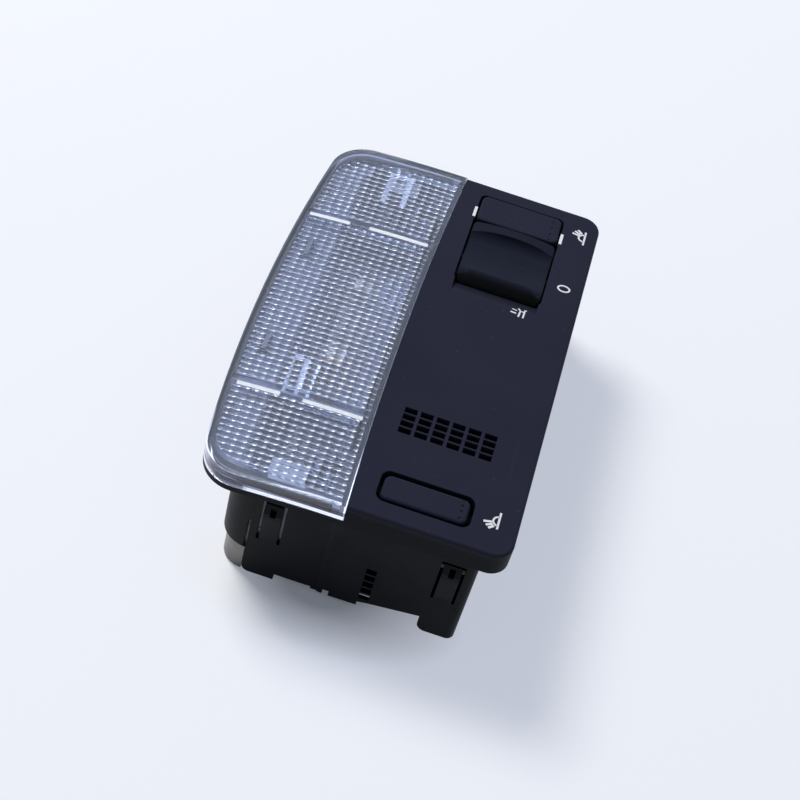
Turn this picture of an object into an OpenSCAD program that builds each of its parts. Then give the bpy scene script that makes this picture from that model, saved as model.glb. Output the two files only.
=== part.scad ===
// Overhead interior lamp for a car: a clear lens over three lamp chambers beside a black control panel.
// The lamp lies on its back. Z is up out of the front face, Y runs along its length, and the origin is
// under the middle of its box, on the surface that its back feet rest on.

/* [Overall] */
// Length of the lamp
body_l = 150; // [140:1:182]
// Width from the seam to the outer edge of the lens, at its widest
lens_w = 47.6; // [46:0.2:58]
// Width from the ends of the seam to the right edge of the control panel
panel_w = 47.2; // [46:0.2:58]
// Height from the back feet to the front face
body_h = 46; // [42:1:56]

/* [Control panel] */
// Thickness of the panel's face
panel_t = 2.2; // [1.8:0.1:3]
// Height of the skirt around the panel
skirt_h = 8.15; // [7:0.05:9]
// Thickness of the skirt
skirt_t = 1.8; // [1.2:0.1:2]
// Radius of the panel's corners in plan
panel_corner_r = 6; // [3:0.5:10]
// Radius on the edge of the panel's face
panel_edge_r = 1; // [0.4:0.1:1.5]
// How far the seam bows towards the lens at mid length
seam_bow = 2; // [1:0.1:3]

/* [Lens] */
// Thickness of the lens skin
lens_t = 1.6; // [1.2:0.1:2]
// Height of the lens skirt
lens_skirt_h = 6.1; // [5.4:0.1:6.4]
// How far the lens face falls at its outer edge
lens_drop = 2.6; // [1:0.1:4]
// How far the outer edge of the lens bows out at mid length
lens_bow = 4.8; // [3:0.1:6]
// How far the ends of the lens fall back at its outer edge
lens_end_fall = 3.6; // [2:0.1:5]
// Radius of the outer corners of the lens
lens_corner_r = 12; // [8:0.5:14]
// Distance from each end to the rib between two lens fields
field_inset = 36; // [30:1:42]

/* [Switch window] */
// Distance from the seam to the switch window
window_x = 6.4; // [5.6:0.1:7]
// Width of the switch window
window_w = 28.8; // [26:0.1:29.4]
// Distance from the far end to the switch window
window_far = 5.5; // [5:0.1:8]
// Length of the switch window
window_l = 43.1; // [42.6:0.1:45]
// Corner radius of the switch window
window_r = 2; // [1:0.1:3]
// Length of the finger ramp in front of the rocker
ramp_l = 5.4; // [4:0.1:8]
// Depth of the finger ramp
ramp_d = 1.7; // [1:0.1:1.7]

/* [Rocker] */
// Distance from the far end to the rocker's pivot
rocker_far = 33.5; // [33.2:0.1:35]
// Depth of the pivot under the face
pivot_d = 4.2; // [4.1:0.1:4.8]
// Radius of the rocker's two end faces about the pivot
rocker_r = 14.6; // [13.6:0.1:14.7]
// Radius of the rocker's corners in plan
rocker_corner_r = 2.5; // [1:0.1:4]
// Side gap between the rocker and its window
rocker_gap = 0.6; // [0.4:0.1:1.2]
// Height of the far finger lip above the face, at its middle
lip_h = 1.6; // [0.8:0.1:2.2]
// How far the lip falls to its two ends
lip_fall = 1.8; // [0.8:0.1:2.4]
// Thickness of the lip, front to back
lip_w = 3.2; // [2:0.1:4]
// Radius of the hollow in front of the lip
lip_hollow_r = 4; // [3:0.1:6]
// Radius of the finger scoop
scoop_r = 40; // [30:1:60]
// Depth of the scoop under the face
scoop_d = 1.3; // [0.8:0.1:1.4]
// Radius of the rocker's near crest
crest_r = 5; // [3:0.1:6]
// Height of the near crest above the face
crest_h = 0.9; // [0.4:0.1:1.4]
// Radius of the pivot pin
pin_r = 1.25; // [1:0.05:1.6]

/* [Reading lamp buttons] */
// Width of the near button's opening
near_open_w = 27.6; // [23:0.1:29]
// Length of the near button's opening
near_open_l = 11.3; // [10:0.1:12]
// Distance from the near end to the near button's opening
near_open_y = 6.2; // [5.6:0.1:8]
// Gap round the near button
near_gap = 1.1; // [0.5:0.05:1.4]
// Height of the near button above the face
near_button_h = 0; // [-0.4:0.1:1]
// Gap round the far button
button_gap = 0.7; // [0.5:0.05:1]
// Length of the far button
far_button_l = 12.4; // [11:0.1:12.4]
// Height of the far button above the face
button_h = 0.6; // [0.2:0.1:1]
// Radius of a button's corners
button_r = 2.2; // [1:0.1:3]
// Travel of a button
button_travel = 1.5; // [0.8:0.1:1.5]

/* [Microphone grille] */
// Slots across the grille
grille_cols = 6; // [3:1:6]
// Rows of slots
grille_rows = 4; // [2:1:5]
// Width of one slot
slot_w = 3.75; // [2.5:0.05:4.2]
// Length of one slot
slot_l = 1.95; // [1.2:0.05:2.2]
// Pitch across the grille
slot_pitch_x = 4.88; // [4.6:0.02:5]
// Pitch along the grille
slot_pitch_y = 2.7; // [2.5:0.05:3]
// Distance from the near end to the grille
grille_near = 32.55; // [30:0.05:36]

/* [Housing] */
// Wall thickness of the housing
wall = 1.4; // [1.1:0.1:1.6]
// Overhang of the panel past the housing's right wall
panel_overhang = 7; // [6:0.1:8]
// Overhang of the lens past the housing's left wall, at the ends
lens_overhang = 8.3; // [7.5:0.1:10]
// Corner radius of the housing's left side in plan
tub_corner_r = 8.8; // [6:0.1:10]
// Height of the electronics floor above the feet
floor_z = 6.3; // [5:0.1:8]
// Lower edge of the rounded left wall above the feet
left_wall_z = 11; // [9:0.5:14]
// Distance between the two mounting screws
screw_pitch = 116; // [104:1:120]
// Radius of the mounting screw holes
screw_hole_r = 2.25; // [1.8:0.05:2.5]

/* [Lamps] */
// Distance from the seam to the lamps' axis
lamp_x_off = 18.8; // [17:0.2:22]
// Depth of the lamps' axis under the face
lamp_d = 13; // [12:0.5:14]
// Length of the tubular bulb over its caps
festoon_l = 41; // [34:0.2:44]
// Radius of the tubular bulb's glass
festoon_r = 5.2; // [4:0.1:5.6]
// Radius of a reading bulb's glass
wedge_r = 4.6; // [4:0.1:5]
// Length of a reading bulb's glass
wedge_l = 18; // [14:0.5:20]

/* [Electronics] */
// Top of the circuit board under the face
board_d = 16; // [16:0.5:18]
// Thickness of the circuit board
board_t = 1.6; // [1:0.2:2]
// Width of the connector socket's cavity
socket_w = 23.6; // [16:0.2:26]
// Depth of the connector socket's cavity, front to back
socket_l = 9.6; // [8:0.2:12]
// Radius of the microphone capsule
mic_r = 4.8; // [4:0.1:5]

/* [Hidden] */

$fn = 64;
eps = 0.01;
fit_gap = 0.15;             // between two fixed pieces that slide together
touch_gap = 0.02;           // between two fixed pieces that press together
run_gap = 0.05;             // radial, round a turning pin
clear_gap = 0.3;            // between a moving and a fixed piece

half_l = body_l / 2;
seam_x = (lens_w - panel_w) / 2;
panel_x1 = seam_x + panel_w;
face_z = body_h;
skirt_z = face_z - skirt_h;
plate_z = face_z - panel_t;

// The seam is one long arc, and so are the lens's outer edge, its two ends and its falling face.
function arc_radius(half_chord, rise) = (half_chord * half_chord + rise * rise) / (2 * rise);
seam_arc_r = arc_radius(half_l, seam_bow);
side_arc_r = arc_radius(half_l, lens_bow);
end_arc_r = arc_radius(lens_w - lens_bow, lens_end_fall);
face_arc_r = arc_radius(lens_w, lens_drop);

// Housing, in plan
tub_x0 = seam_x - lens_w + lens_bow + lens_overhang;
tub_x1 = panel_x1 - panel_overhang;
tub_step = 0.4;             // the lamp side is this much shorter at each end
tub_half = half_l - skirt_t - fit_gap;
lamp_half = tub_half - tub_step;
tub_r = 2.5;
divide_x = seam_x - 5.2;    // lamp side face of the wall between lamps and electronics
chamber_x0 = tub_x0 + wall;
chamber_half = lamp_half - wall;
pillar_r = 3.8;
pillar_x = divide_x - pillar_r + 0.6;

// Lamps
lamp_x = seam_x - lamp_x_off;
lamp_z = face_z - lamp_d;
tray_t = 1.2;
tray_floor_z = face_z - 26;
field_y = half_l - field_inset;
glass_t = 0.7;
cap_r = 4.2;
cap_l = 5.5;
cone_l = 2.2;
clip_t = 0.5;
holder_l = 8;
holder_w = 11;

// Switches
window_x0 = seam_x + window_x;
window_x1 = window_x0 + window_w;
window_y1 = half_l - window_far;
window_y0 = window_y1 - window_l;
pivot_y = half_l - rocker_far;
pivot_z = face_z - pivot_d;
near_x0 = seam_x + 6;
near_y0 = -half_l + near_open_y;
cheek_gap = 1.6;
cheek_t = 1.6;
cheek_drop = 4.5;           // the window's cheeks and the rocker's skirt reach this far under the pivot
lug_over = 1;
lug_t = 1.4;
button_t = 2.2;
skirt_inset = 0.8;          // a button's body under its cap
button_wall = 1;
rocker_side_inset = 2.2;    // the same, on the side next to the rocker
stem_r = 1.5;
switch_w = 8;
switch_h = 3.6;
plunger_h = 1.6;
spring_r = 2.3;
wire_r = 0.25;
spring_turns = 6;
leaf_t = 0.4;

// Electronics
board_z1 = face_z - board_d;
board_z0 = board_z1 - board_t;
tail_r = pivot_z - board_z1 - 1;    // reach of the rocker's tail under the pivot
board_x0 = divide_x + wall + 3;
board_x1 = tub_x1 - wall - 1;
board_half = tub_half - wall - 1;
boss_r = 3;
boss_near_y = -half_l + 25;
boss_mid_y = -half_l + 87;
boss_x0 = window_x0 + 2.6;
boss_x1 = window_x1 - 4.2;
pilot_r = 1.1;
mic_x = seam_x + 20;
mic_y = -half_l + grille_near + ((grille_rows - 1) * slot_pitch_y + slot_l) / 2;
seal_t = 0.6;
socket_x = seam_x + 20;
socket_y = -half_l + 60;
socket_wall = 1.2;
socket_z0 = 1.6;
header_z = 13;
header_t = 3;
pin_tip_z = 7.8;
pin_w = 0.8;
pin_pitch = 3.4;
pin_count = 6;

function arc_points(cx, cy, r, a0, a1, n) =
    [for (i = [0 : n]) let (a = a0 + (a1 - a0) * i / n) [cx + r * cos(a), cy + r * sin(a)]];

// A flat shape drawn in X and Z, drawn out along Y
module along_y(y0, y1) {
    translate([0, y1, 0]) rotate([90, 0, 0]) linear_extrude(y1 - y0) children();
}

// A flat shape drawn in Y and Z, drawn out along X
module along_x(x0, x1) {
    translate([x0, 0, 0]) rotate([90, 0, 90]) linear_extrude(x1 - x0) children();
}

// A rectangle with one radius on its left corners and one on its right
module round_rect(x0, x1, y0, y1, rl, rr) {
    translate([x0 + rl, y0]) square([x1 - rr - x0 - rl, y1 - y0]);
    translate([x0, y0 + rl]) square([rl, y1 - y0 - 2 * rl]);
    translate([x1 - rr, y0 + rr]) square([rr, y1 - y0 - 2 * rr]);
    for (y = [y0 + rl, y1 - rl]) translate([x0 + rl, y]) circle(r = rl);
    for (y = [y0 + rr, y1 - rr]) translate([x1 - rr, y]) circle(r = rr);
}

module mirror_ends() {
    children();
    mirror([0, 1, 0]) children();
}

// Plan of everything on the panel's side of the seam, with a gap taken off it
module right_of_seam(gap) {
    translate([seam_x - seam_bow + seam_arc_r, 0]) circle(r = seam_arc_r - gap, $fn = 1440);
}

// Plan of the lens, cut at the seam
module lens_plan(inset, seam_gap) {
    difference() {
        offset(delta = -inset) offset(r = lens_corner_r) offset(delta = -lens_corner_r) intersection() {
            translate([seam_x - lens_w + side_arc_r, 0]) circle(r = side_arc_r, $fn = 360);
            for (side = [-1, 1]) translate([seam_x, side * (half_l - end_arc_r)]) circle(r = end_arc_r, $fn = 360);
            translate([seam_x - lens_w, -half_l]) square([lens_w + 30, body_l]);
        }
        right_of_seam(-seam_gap);
    }
}

// Everything under a surface that lies parallel to the falling face of the lens, at a depth below it
module below_face(depth) {
    translate([seam_x, body_l, face_z - face_arc_r])
        rotate([90, 0, 0]) cylinder(r = face_arc_r - depth, h = 2 * body_l, $fn = 1440);
}

module panel_plan(inset) {
    intersection() {
        round_rect(seam_x - 12, panel_x1 - inset, -half_l + inset, half_l - inset, 1, panel_corner_r - inset);
        right_of_seam(inset);
    }
}

// Panel block with its face edge rounded
module panel_block() {
    intersection() {
        hull() {
            for (a = [0 : 22.5 : 90]) {
                inset = panel_edge_r * (1 - cos(a));
                translate([0, 0, a == 0 ? skirt_z : face_z - panel_edge_r * (1 - sin(a)) - eps])
                    linear_extrude(eps)
                        round_rect(seam_x - 12, panel_x1 - inset, -half_l + inset, half_l - inset,
                                   1, panel_corner_r - inset, $fn = 32);
            }
            translate([0, 0, face_z - panel_edge_r])
                linear_extrude(eps)
                    round_rect(seam_x - 12, panel_x1, -half_l, half_l, 1, panel_corner_r, $fn = 32);
        }
        linear_extrude(face_z + 1) right_of_seam(0);
    }
}

// Plan of the lamp chamber inside the housing
module chamber_plan(inset) {
    round_rect(chamber_x0 + inset, divide_x - inset, -chamber_half + inset, chamber_half - inset,
               tub_corner_r - wall - inset, 1);
}

// Two walls under the panel, either side of a switch
module cheeks(x0, x1, y0, y1, z0) {
    for (x = [x0 - cheek_gap - cheek_t, x1 + cheek_gap])
        translate([x, y0, z0]) cube([cheek_t, y1 - y0, plate_z - z0 + eps]);
}

module bezel() {
    color("#2b2c31") difference() {
        union() {
            difference() {
                panel_block();
                translate([0, 0, -1]) linear_extrude(plate_z + 1) panel_plan(skirt_t);
            }
            // The flange that the lens skirt stands on
            difference() {
                intersection() {
                    translate([0, 0, skirt_z - 6]) linear_extrude(skirt_h) lens_plan(0, -0.6);
                    below_face(lens_skirt_h + fit_gap);
                }
                below_face(skirt_h);
                translate([0, 0, skirt_z - 8]) linear_extrude(skirt_h + 8) chamber_plan(0);
            }
            cheeks(window_x0, window_x1, window_y0 + 2, window_y1, pivot_z - cheek_drop);
            cheeks(near_x0, near_x0 + near_open_w, near_y0, near_y0 + near_open_l, plate_z - 8);
            for (x = [boss_x0, boss_x1], y = [boss_near_y, boss_mid_y])
                translate([x, y, board_z1 + touch_gap]) cylinder(r = boss_r, h = plate_z - board_z1);
            translate([mic_x, mic_y, plate_z - 7.5]) cylinder(r = mic_r + seal_t + 1.4, h = 7.5 + eps);
        }
        // Switch window and the finger ramp in front of it
        translate([0, 0, plate_z - 1]) linear_extrude(panel_t + 2)
            round_rect(window_x0, window_x1, window_y0, window_y1, window_r, window_r);
        along_x(window_x0 + 0.6, window_x1 - 0.6)
            polygon([[window_y0 - ramp_l, face_z], [window_y0 - ramp_l, face_z + 1],
                     [window_y0 + 1, face_z + 1], [window_y0 + 1, face_z - ramp_d], [window_y0, face_z - ramp_d]]);
        // Near button's opening
        translate([0, 0, plate_z - 1]) linear_extrude(panel_t + 2)
            round_rect(near_x0, near_x0 + near_open_w, near_y0, near_y0 + near_open_l, 2.8, 2.8);
        // Microphone grille
        for (i = [0 : grille_cols - 1], j = [0 : grille_rows - 1])
            translate([near_x0 + i * slot_pitch_x, -half_l + grille_near + j * slot_pitch_y, plate_z - 1])
                cube([slot_w, slot_l, panel_t + 2]);
        translate([mic_x, mic_y, plate_z - 8]) cylinder(r = mic_r + seal_t + touch_gap, h = 8);
        // Pivot pin's holes, and pilot holes for the board screws
        translate([window_x0 - 4, pivot_y, pivot_z]) rotate([0, 90, 0]) cylinder(r = pin_r + touch_gap, h = window_w + 8);
        for (x = [boss_x0, boss_x1], y = [boss_near_y, boss_mid_y])
            translate([x, y, board_z1 - 1]) cylinder(r = pilot_r, h = 10);
        // Seats of the two white marks beside the window
        mark_seats(0);
        lens_catch_slots();
    }
}

// Two white bars let into the panel at the edges of the switch window
module mark_seats(gap) {
    mark_l = 5;
    for (x = [window_x0 - 0.9, window_x1 - 0.1])
        translate([x + gap, half_l - 17.4 + gap, face_z - 1.2]) cube([1 - 2 * gap, mark_l - 2 * gap, 1.25]);
}

module index_marks() {
    color("#f4f4f2") intersection() {
        mark_seats(touch_gap);
        translate([-body_l, -body_l, 0]) cube([2 * body_l, 2 * body_l, face_z + 0.03]);
    }
}

// The lens is held by two tongues in the seam wall and two hooks through the flange
tongue_y = half_l - 45;
tongue_w = 8;
hook_y = 22;
hook_w = 7;
hook_x = seam_x - lens_w + 7.2;
flange_bottom_z = face_z - skirt_h - 2.3;

module lens_catch_slots() {
    mirror_ends() {
        translate([seam_x - seam_bow - 1, tongue_y - tongue_w / 2 - fit_gap, skirt_z + 2.2])
            cube([seam_bow + skirt_t + 1.2, tongue_w + 2 * fit_gap, 1.6 + 2 * fit_gap]);
        translate([hook_x - fit_gap, hook_y - hook_w / 2 - fit_gap, flange_bottom_z - 3])
            cube([1.4 + 2 * fit_gap, hook_w + 2 * fit_gap, skirt_h + 2]);
    }
}

module lens() {
    color("#c9d3de", 0.5) union() {
        difference() {
            intersection() {
                translate([0, 0, skirt_z - 6]) linear_extrude(skirt_h + 7) lens_plan(0, fit_gap);
                below_face(0);
            }
            below_face(lens_skirt_h);
            intersection() {
                translate([0, 0, skirt_z - 7]) linear_extrude(skirt_h + 9) lens_plan(lens_t, fit_gap + lens_t);
                below_face(lens_t);
            }
        }
        // Ribs between the three fields, on the inside
        intersection() {
            for (y = [-field_y, field_y])
                translate([seam_x - lens_w, y - 0.9, skirt_z]) cube([lens_w, 1.8, skirt_h]);
            difference() {
                below_face(lens_t - 0.1);
                below_face(lens_t + 1.2);
            }
            translate([0, 0, skirt_z - 6]) linear_extrude(skirt_h + 7) lens_plan(lens_t / 2, fit_gap + lens_t / 2);
        }
        mirror_ends() {
            translate([seam_x - seam_bow - lens_t / 2, tongue_y - tongue_w / 2, skirt_z + 2.2 + fit_gap])
                cube([seam_bow + lens_t / 2 + skirt_t, tongue_w, 1.6]);
            difference() {
                translate([hook_x, hook_y - hook_w / 2, flange_bottom_z - 1.8])
                    cube([1.4, hook_w, face_z - flange_bottom_z]);
                difference() {
                    translate([hook_x - 1, hook_y - hook_w, skirt_z]) cube([4, 2 * hook_w, 2 * skirt_h]);
                    below_face(lens_t / 2);
                }
            }
            along_hook();
        }
    }
}

// Barb on the foot of a lens hook, under the flange
module along_hook() {
    translate([0, hook_y + hook_w / 2, 0]) rotate([90, 0, 0]) linear_extrude(hook_w)
        polygon([[hook_x + eps, flange_bottom_z - 0.4], [hook_x - 0.9, flange_bottom_z - 0.4],
                 [hook_x + eps, flange_bottom_z - 1.8]]);
}

// Lower outline of the housing's end walls, in X and Z, from left to right
foot_z = 0;
foot_x = divide_x - 20.4;
foot_slit_z = 24;
leg_w = 11.4;
end_profile = concat(
    [[tub_x0, left_wall_z], [foot_x - 0.8, left_wall_z], [foot_x - 0.8, foot_slit_z], [foot_x, foot_slit_z]],
    arc_points(foot_x + 2.4, foot_z + 2.4, 2.4, 180, 270, 8),
    [[divide_x - 10.5, foot_z], [divide_x - 10.5, 2.7], [seam_x - 4.3, 2.7], [seam_x - 4.3, 1.8],
     [seam_x - 0.6, 1.8], [seam_x - 0.6, 3.8], [seam_x + 1.3, 3.8], [seam_x + 1.3, 1.6],
     [seam_x + 10, 1.8], [seam_x + 10, 3.4], [seam_x + 13.4, 4.1], [tub_x1 - leg_w, floor_z]],
    arc_points(tub_x1 - leg_w + 2.8, 2.8, 2.8, 180, 270, 8),
    [[tub_x1, foot_z], [tub_x1, face_z], [tub_x0, face_z]]);

// One spring arm in an end wall: slits free its top, and its bump snaps over the roof panel's edge
arm_w = 5.4;
arm_z0 = 16.7;
arm_top = 34.4;
slit = 0.9;

module arm_slits(x, y_out) {
    for (dx = [-arm_w / 2 - slit, arm_w / 2])
        translate([x + dx, -y_out - 1, arm_z0]) cube([slit, wall + 3, arm_top - arm_z0]);
    translate([x - arm_w / 2 - slit, -y_out - 1, arm_top - slit]) cube([arm_w + 2 * slit, wall + 3, slit]);
    translate([x - 0.8, -y_out - 1, arm_top - slit - 4]) cube([1.7, wall + 3, 3.2]);
}

module arm_bump(x, y_out) {
    difference() {
        along_x(x - arm_w / 2, x + arm_w / 2)
            polygon([[-y_out + 0.2, arm_z0 + 1], [-y_out, arm_z0 + 1], [-y_out - 1.3, arm_top - 6],
                     [-y_out - 1.3, arm_top - 4], [-y_out, arm_top - slit], [-y_out + 0.2, arm_top - slit]]);
        translate([x - 0.8, -y_out - 2, arm_top - slit - 4]) cube([1.7, wall + 3, 3.2]);
    }
}

arm_left_x = lamp_x - 0.9;
arm_right_x = tub_x1 - 6.9;
vent_x = seam_x + 10.1;
vent_w = 3.1;

module housing() {
    color("#1c1d20") difference() {
        union() {
            intersection() {
                difference() {
                    union() {
                        // Lamp side, under the lens flange
                        intersection() {
                            linear_extrude(face_z)
                                round_rect(tub_x0, divide_x + wall + 2, -lamp_half, lamp_half, tub_corner_r, 1);
                            below_face(skirt_h + fit_gap);
                        }
                        // Electronics side, up inside the panel's skirt
                        linear_extrude(skirt_z - fit_gap)
                            round_rect(divide_x + wall, tub_x1, -tub_half, tub_half, tub_r, tub_r);
                        linear_extrude(plate_z - fit_gap)
                            round_rect(seam_x + skirt_t + 1.5, tub_x1, -tub_half, tub_half, tub_r, tub_r);
                    }
                    translate([0, 0, -1]) linear_extrude(face_z + 2) chamber_plan(0);
                    translate([0, 0, floor_z + 2]) linear_extrude(face_z)
                        round_rect(divide_x + wall, tub_x1 - wall, -tub_half + wall, tub_half - wall, 1, tub_r - wall);
                    translate([0, 0, -1]) linear_extrude(floor_z + 1)
                        round_rect(divide_x + wall, tub_x1 - wall, -tub_half + wall, tub_half - wall, 1, tub_r - wall);
                }
                along_y(-body_l, body_l) polygon(end_profile);
            }
            // Pillars for the two mounting screws
            mirror_ends() translate([pillar_x, screw_pitch / 2, 2.7])
                cylinder(r = pillar_r, h = face_z - 12 - 2.7);
            mirror_ends() {
                arm_bump(arm_left_x, lamp_half);
                arm_bump(arm_right_x, tub_half);
            }
        }
        mirror_ends() translate([pillar_x, screw_pitch / 2, 0]) cylinder(r = screw_hole_r, h = face_z);
        mirror_ends() {
            arm_slits(arm_left_x, lamp_half);
            arm_slits(arm_right_x, tub_half);
        }
        // The right wall stands on its four corner legs only
        translate([tub_x1 - wall - 1, -tub_half + 12, -1]) cube([wall + 2, 2 * tub_half - 24, floor_z + 1]);
        // Barred vent in the near wall
        for (z = [5.4 : 3.1 : 18])
            translate([vent_x, -tub_half - 1, z]) cube([vent_w, wall + 2, 2.3]);
        // Connector's opening in the floor
        translate([socket_x - socket_w / 2 - socket_wall - fit_gap, socket_y - socket_l / 2 - socket_wall - fit_gap, 0])
            cube([socket_w + 2 * socket_wall + 2 * fit_gap, socket_l + 2 * socket_wall + 2 * fit_gap, floor_z + 4]);
    }
}

// Pressed tray behind the lamps. Under the cut-away corners of the end walls it is joggled out, flush with them.
shield_t = 0.6;
shield_top = tray_floor_z - clear_gap;
shield_z0 = 0.3;
joggle_top = left_wall_z - clear_gap;

module shield_form(skin) {
    translate([0, 0, shield_z0 + skin]) linear_extrude(shield_top + 2 * skin - shield_z0)
        round_rect(chamber_x0 + fit_gap + skin, divide_x - fit_gap - skin,
                   -chamber_half + fit_gap + skin, chamber_half - fit_gap - skin,
                   tub_corner_r - wall - fit_gap - skin, 0.6);
    translate([0, 0, shield_z0 + skin]) linear_extrude(joggle_top - skin - shield_z0 - skin)
        intersection() {
            round_rect(chamber_x0 + fit_gap + skin, divide_x - fit_gap - skin,
                       -lamp_half + fit_gap + skin, lamp_half - fit_gap - skin,
                       tub_corner_r - wall - fit_gap - skin, 0.6);
            translate([tub_x0, -body_l]) square([foot_x - fit_gap - skin - tub_x0, 2 * body_l]);
        }
}

module heat_shield() {
    color("#a8a294") difference() {
        shield_form(0);
        shield_form(shield_t);
        mirror_ends() translate([pillar_x, screw_pitch / 2, -1]) cylinder(r = pillar_r + fit_gap, h = face_z);
    }
}

// Moulded three-bay reflector: a tray in the chamber with a rim that lies on the lens flange
module reflector() {
    color("#d9dde2") difference() {
        union() {
            intersection() {
                translate([0, 0, tray_floor_z]) linear_extrude(face_z) chamber_plan(fit_gap);
                below_face(lens_skirt_h);
            }
            intersection() {
                difference() {
                    below_face(lens_skirt_h - tray_t);
                    below_face(lens_skirt_h + fit_gap / 2);
                }
                translate([0, 0, skirt_z - 6]) linear_extrude(2 * skirt_h)
                    lens_plan(lens_t + fit_gap, lens_t + 2 * fit_gap);
            }
        }
        difference() {
            translate([0, 0, tray_floor_z + tray_t]) linear_extrude(face_z) chamber_plan(fit_gap + tray_t);
            for (y = [-field_y, field_y])
                translate([chamber_x0, y - tray_t / 2, 0]) cube([-chamber_x0 + divide_x, tray_t, face_z - 11]);
            for (y = [-1, 1], x = [pillar_x])
                translate([x, y * screw_pitch / 2, 0]) cylinder(r = pillar_r + fit_gap + tray_t, h = face_z - 12);
        }
        mirror_ends() translate([pillar_x, screw_pitch / 2, 0]) cylinder(r = pillar_r + fit_gap, h = face_z);
        lens_hook_room();
        // Slots for the clips' feet
        for (side = [-1, 1])
            translate([lamp_x - 3 - fit_gap, side * (festoon_l / 2 + 0.2) - 2, tray_floor_z - 1])
                cube([6 + 2 * fit_gap, 4, 1 + tray_t + 1]);
    }
}

module lens_hook_room() {
    mirror_ends() translate([hook_x - fit_gap - 1, hook_y - hook_w / 2 - fit_gap, flange_bottom_z])
        cube([2.4 + 2 * fit_gap, hook_w + 2 * fit_gap, skirt_h + 4]);
}

// Tubular bulb along Y: glass, two metal caps with cone ends, and a filament between them
glass_half = festoon_l / 2 - cone_l - cap_l + 1;

module turned_along_y(y) {
    translate([lamp_x, y, lamp_z]) rotate([-90, 0, 0]) rotate_extrude() children();
}

module festoon_glass() {
    color("#e6d3bf", 0.5) turned_along_y(0) difference() {
        polygon([[0, -glass_half], [cap_r - glass_t - 0.1, -glass_half], [cap_r - glass_t - 0.1, -glass_half + 1],
                 [festoon_r, -glass_half + 2.6], [festoon_r, glass_half - 2.6],
                 [cap_r - glass_t - 0.1, glass_half - 1], [cap_r - glass_t - 0.1, glass_half], [0, glass_half]]);
        polygon([[0, -glass_half + 1.6], [festoon_r - glass_t, -glass_half + 3.2],
                 [festoon_r - glass_t, glass_half - 3.2], [0, glass_half - 1.6]]);
    }
}

module festoon_caps() {
    color("#c8c3b6") for (side = [-1, 1])
        translate([lamp_x, 0, lamp_z]) rotate([-90 * side, 0, 0]) rotate_extrude() difference() {
            polygon([[0, festoon_l / 2 - cone_l - cap_l], [cap_r, festoon_l / 2 - cone_l - cap_l],
                     [cap_r, festoon_l / 2 - cone_l], [1, festoon_l / 2], [0, festoon_l / 2]]);
            translate([0, festoon_l / 2 - cone_l - cap_l - 1]) square([cap_r - 0.7, cap_l + 1]);
        }
}

module festoon_filament() {
    coil_l = 9;
    lead_y = glass_half - 2;
    color("#8c8a86") turned_along_y(0)
        polygon([[0, -lead_y], [0.25, -lead_y], [0.25, -coil_l / 2], [0.6, -coil_l / 2],
                 [0.6, coil_l / 2], [0.25, coil_l / 2], [0.25, lead_y], [0, lead_y]]);
}

// Spring clip at each end: a blade with a hole for the cap's cone, on a foot through the tray
module festoon_clips() {
    blade_y = festoon_l / 2 - cone_l * 0.45;
    color("#b9925a") for (side = [-1, 1]) {
        difference() {
            translate([lamp_x - 3, side * blade_y - clip_t / 2, tray_floor_z])
                cube([6, clip_t, lamp_z + 4 - tray_floor_z]);
            translate([lamp_x, side * blade_y - 1, lamp_z]) rotate([-90, 0, 0]) cylinder(r = 2.9, h = 2);
        }
        translate([lamp_x - 3, side * blade_y - (side > 0 ? 0 : 3), tray_floor_z - touch_gap]) cube([6, 3, clip_t]);
    }
}

// Capless bulb lying along Y with its flat base in the holder at the end wall
holder_y1 = chamber_half - fit_gap - tray_t - fit_gap;
holder_y0 = holder_y1 - holder_l;

module reading_bulb() {
    color("#dfe4ea", 0.5) translate([lamp_x, 0, lamp_z]) {
        rotate([-90, 0, 0]) rotate_extrude() difference() {
            union() {
                translate([0, holder_y0 - wedge_l + wedge_r]) intersection() {
                    circle(r = wedge_r);
                    translate([0, -wedge_r]) square([wedge_r, 2 * wedge_r]);
                }
                translate([0, holder_y0 - wedge_l + wedge_r]) square([wedge_r, wedge_l - wedge_r - fit_gap]);
            }
            translate([0, holder_y0 - wedge_l + wedge_r]) intersection() {
                circle(r = wedge_r - glass_t);
                translate([0, -wedge_r]) square([wedge_r, 2 * wedge_r]);
            }
            translate([0, holder_y0 - wedge_l + wedge_r]) square([wedge_r - glass_t, wedge_l - wedge_r - 2.4]);
        }
        translate([-4, holder_y0 - 1, -1]) cube([8, 6, 2]);
    }
}

module reading_bulb_far() { reading_bulb(); }
module reading_bulb_near() { mirror([0, 1, 0]) reading_bulb(); }

// Holder that stands on the tray's floor, with a slot for the bulb's base
module bulb_holder() {
    color("#e8e6df") difference() {
        translate([lamp_x - holder_w / 2, holder_y0, tray_floor_z + tray_t])
            cube([holder_w, holder_l, lamp_z + holder_w / 2 - tray_floor_z - tray_t]);
        translate([lamp_x - 4 - fit_gap, holder_y0 - 1, lamp_z - 1 - fit_gap])
            cube([8 + 2 * fit_gap, 6.2 + fit_gap, 2 + 2 * fit_gap]);
        for (dx = [-3.4, 1.2])
            translate([lamp_x + dx, holder_y0 - 1, lamp_z - 4]) cube([2.2, 3, 2]);
    }
}

module bulb_holder_far() { bulb_holder(); }
module bulb_holder_near() { mirror([0, 1, 0]) bulb_holder(); }

// Stamped rails under the tray that feed the clips and holders
module lamp_rails() {
    color("#b08d57") for (side = [-1, 1])
        translate([lamp_x - 2, side > 0 ? festoon_l / 2 - 4 : -holder_y1, tray_floor_z - 0.5 - fit_gap])
            cube([4, holder_y1 - festoon_l / 2 + 4, 0.5]);
}

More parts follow.
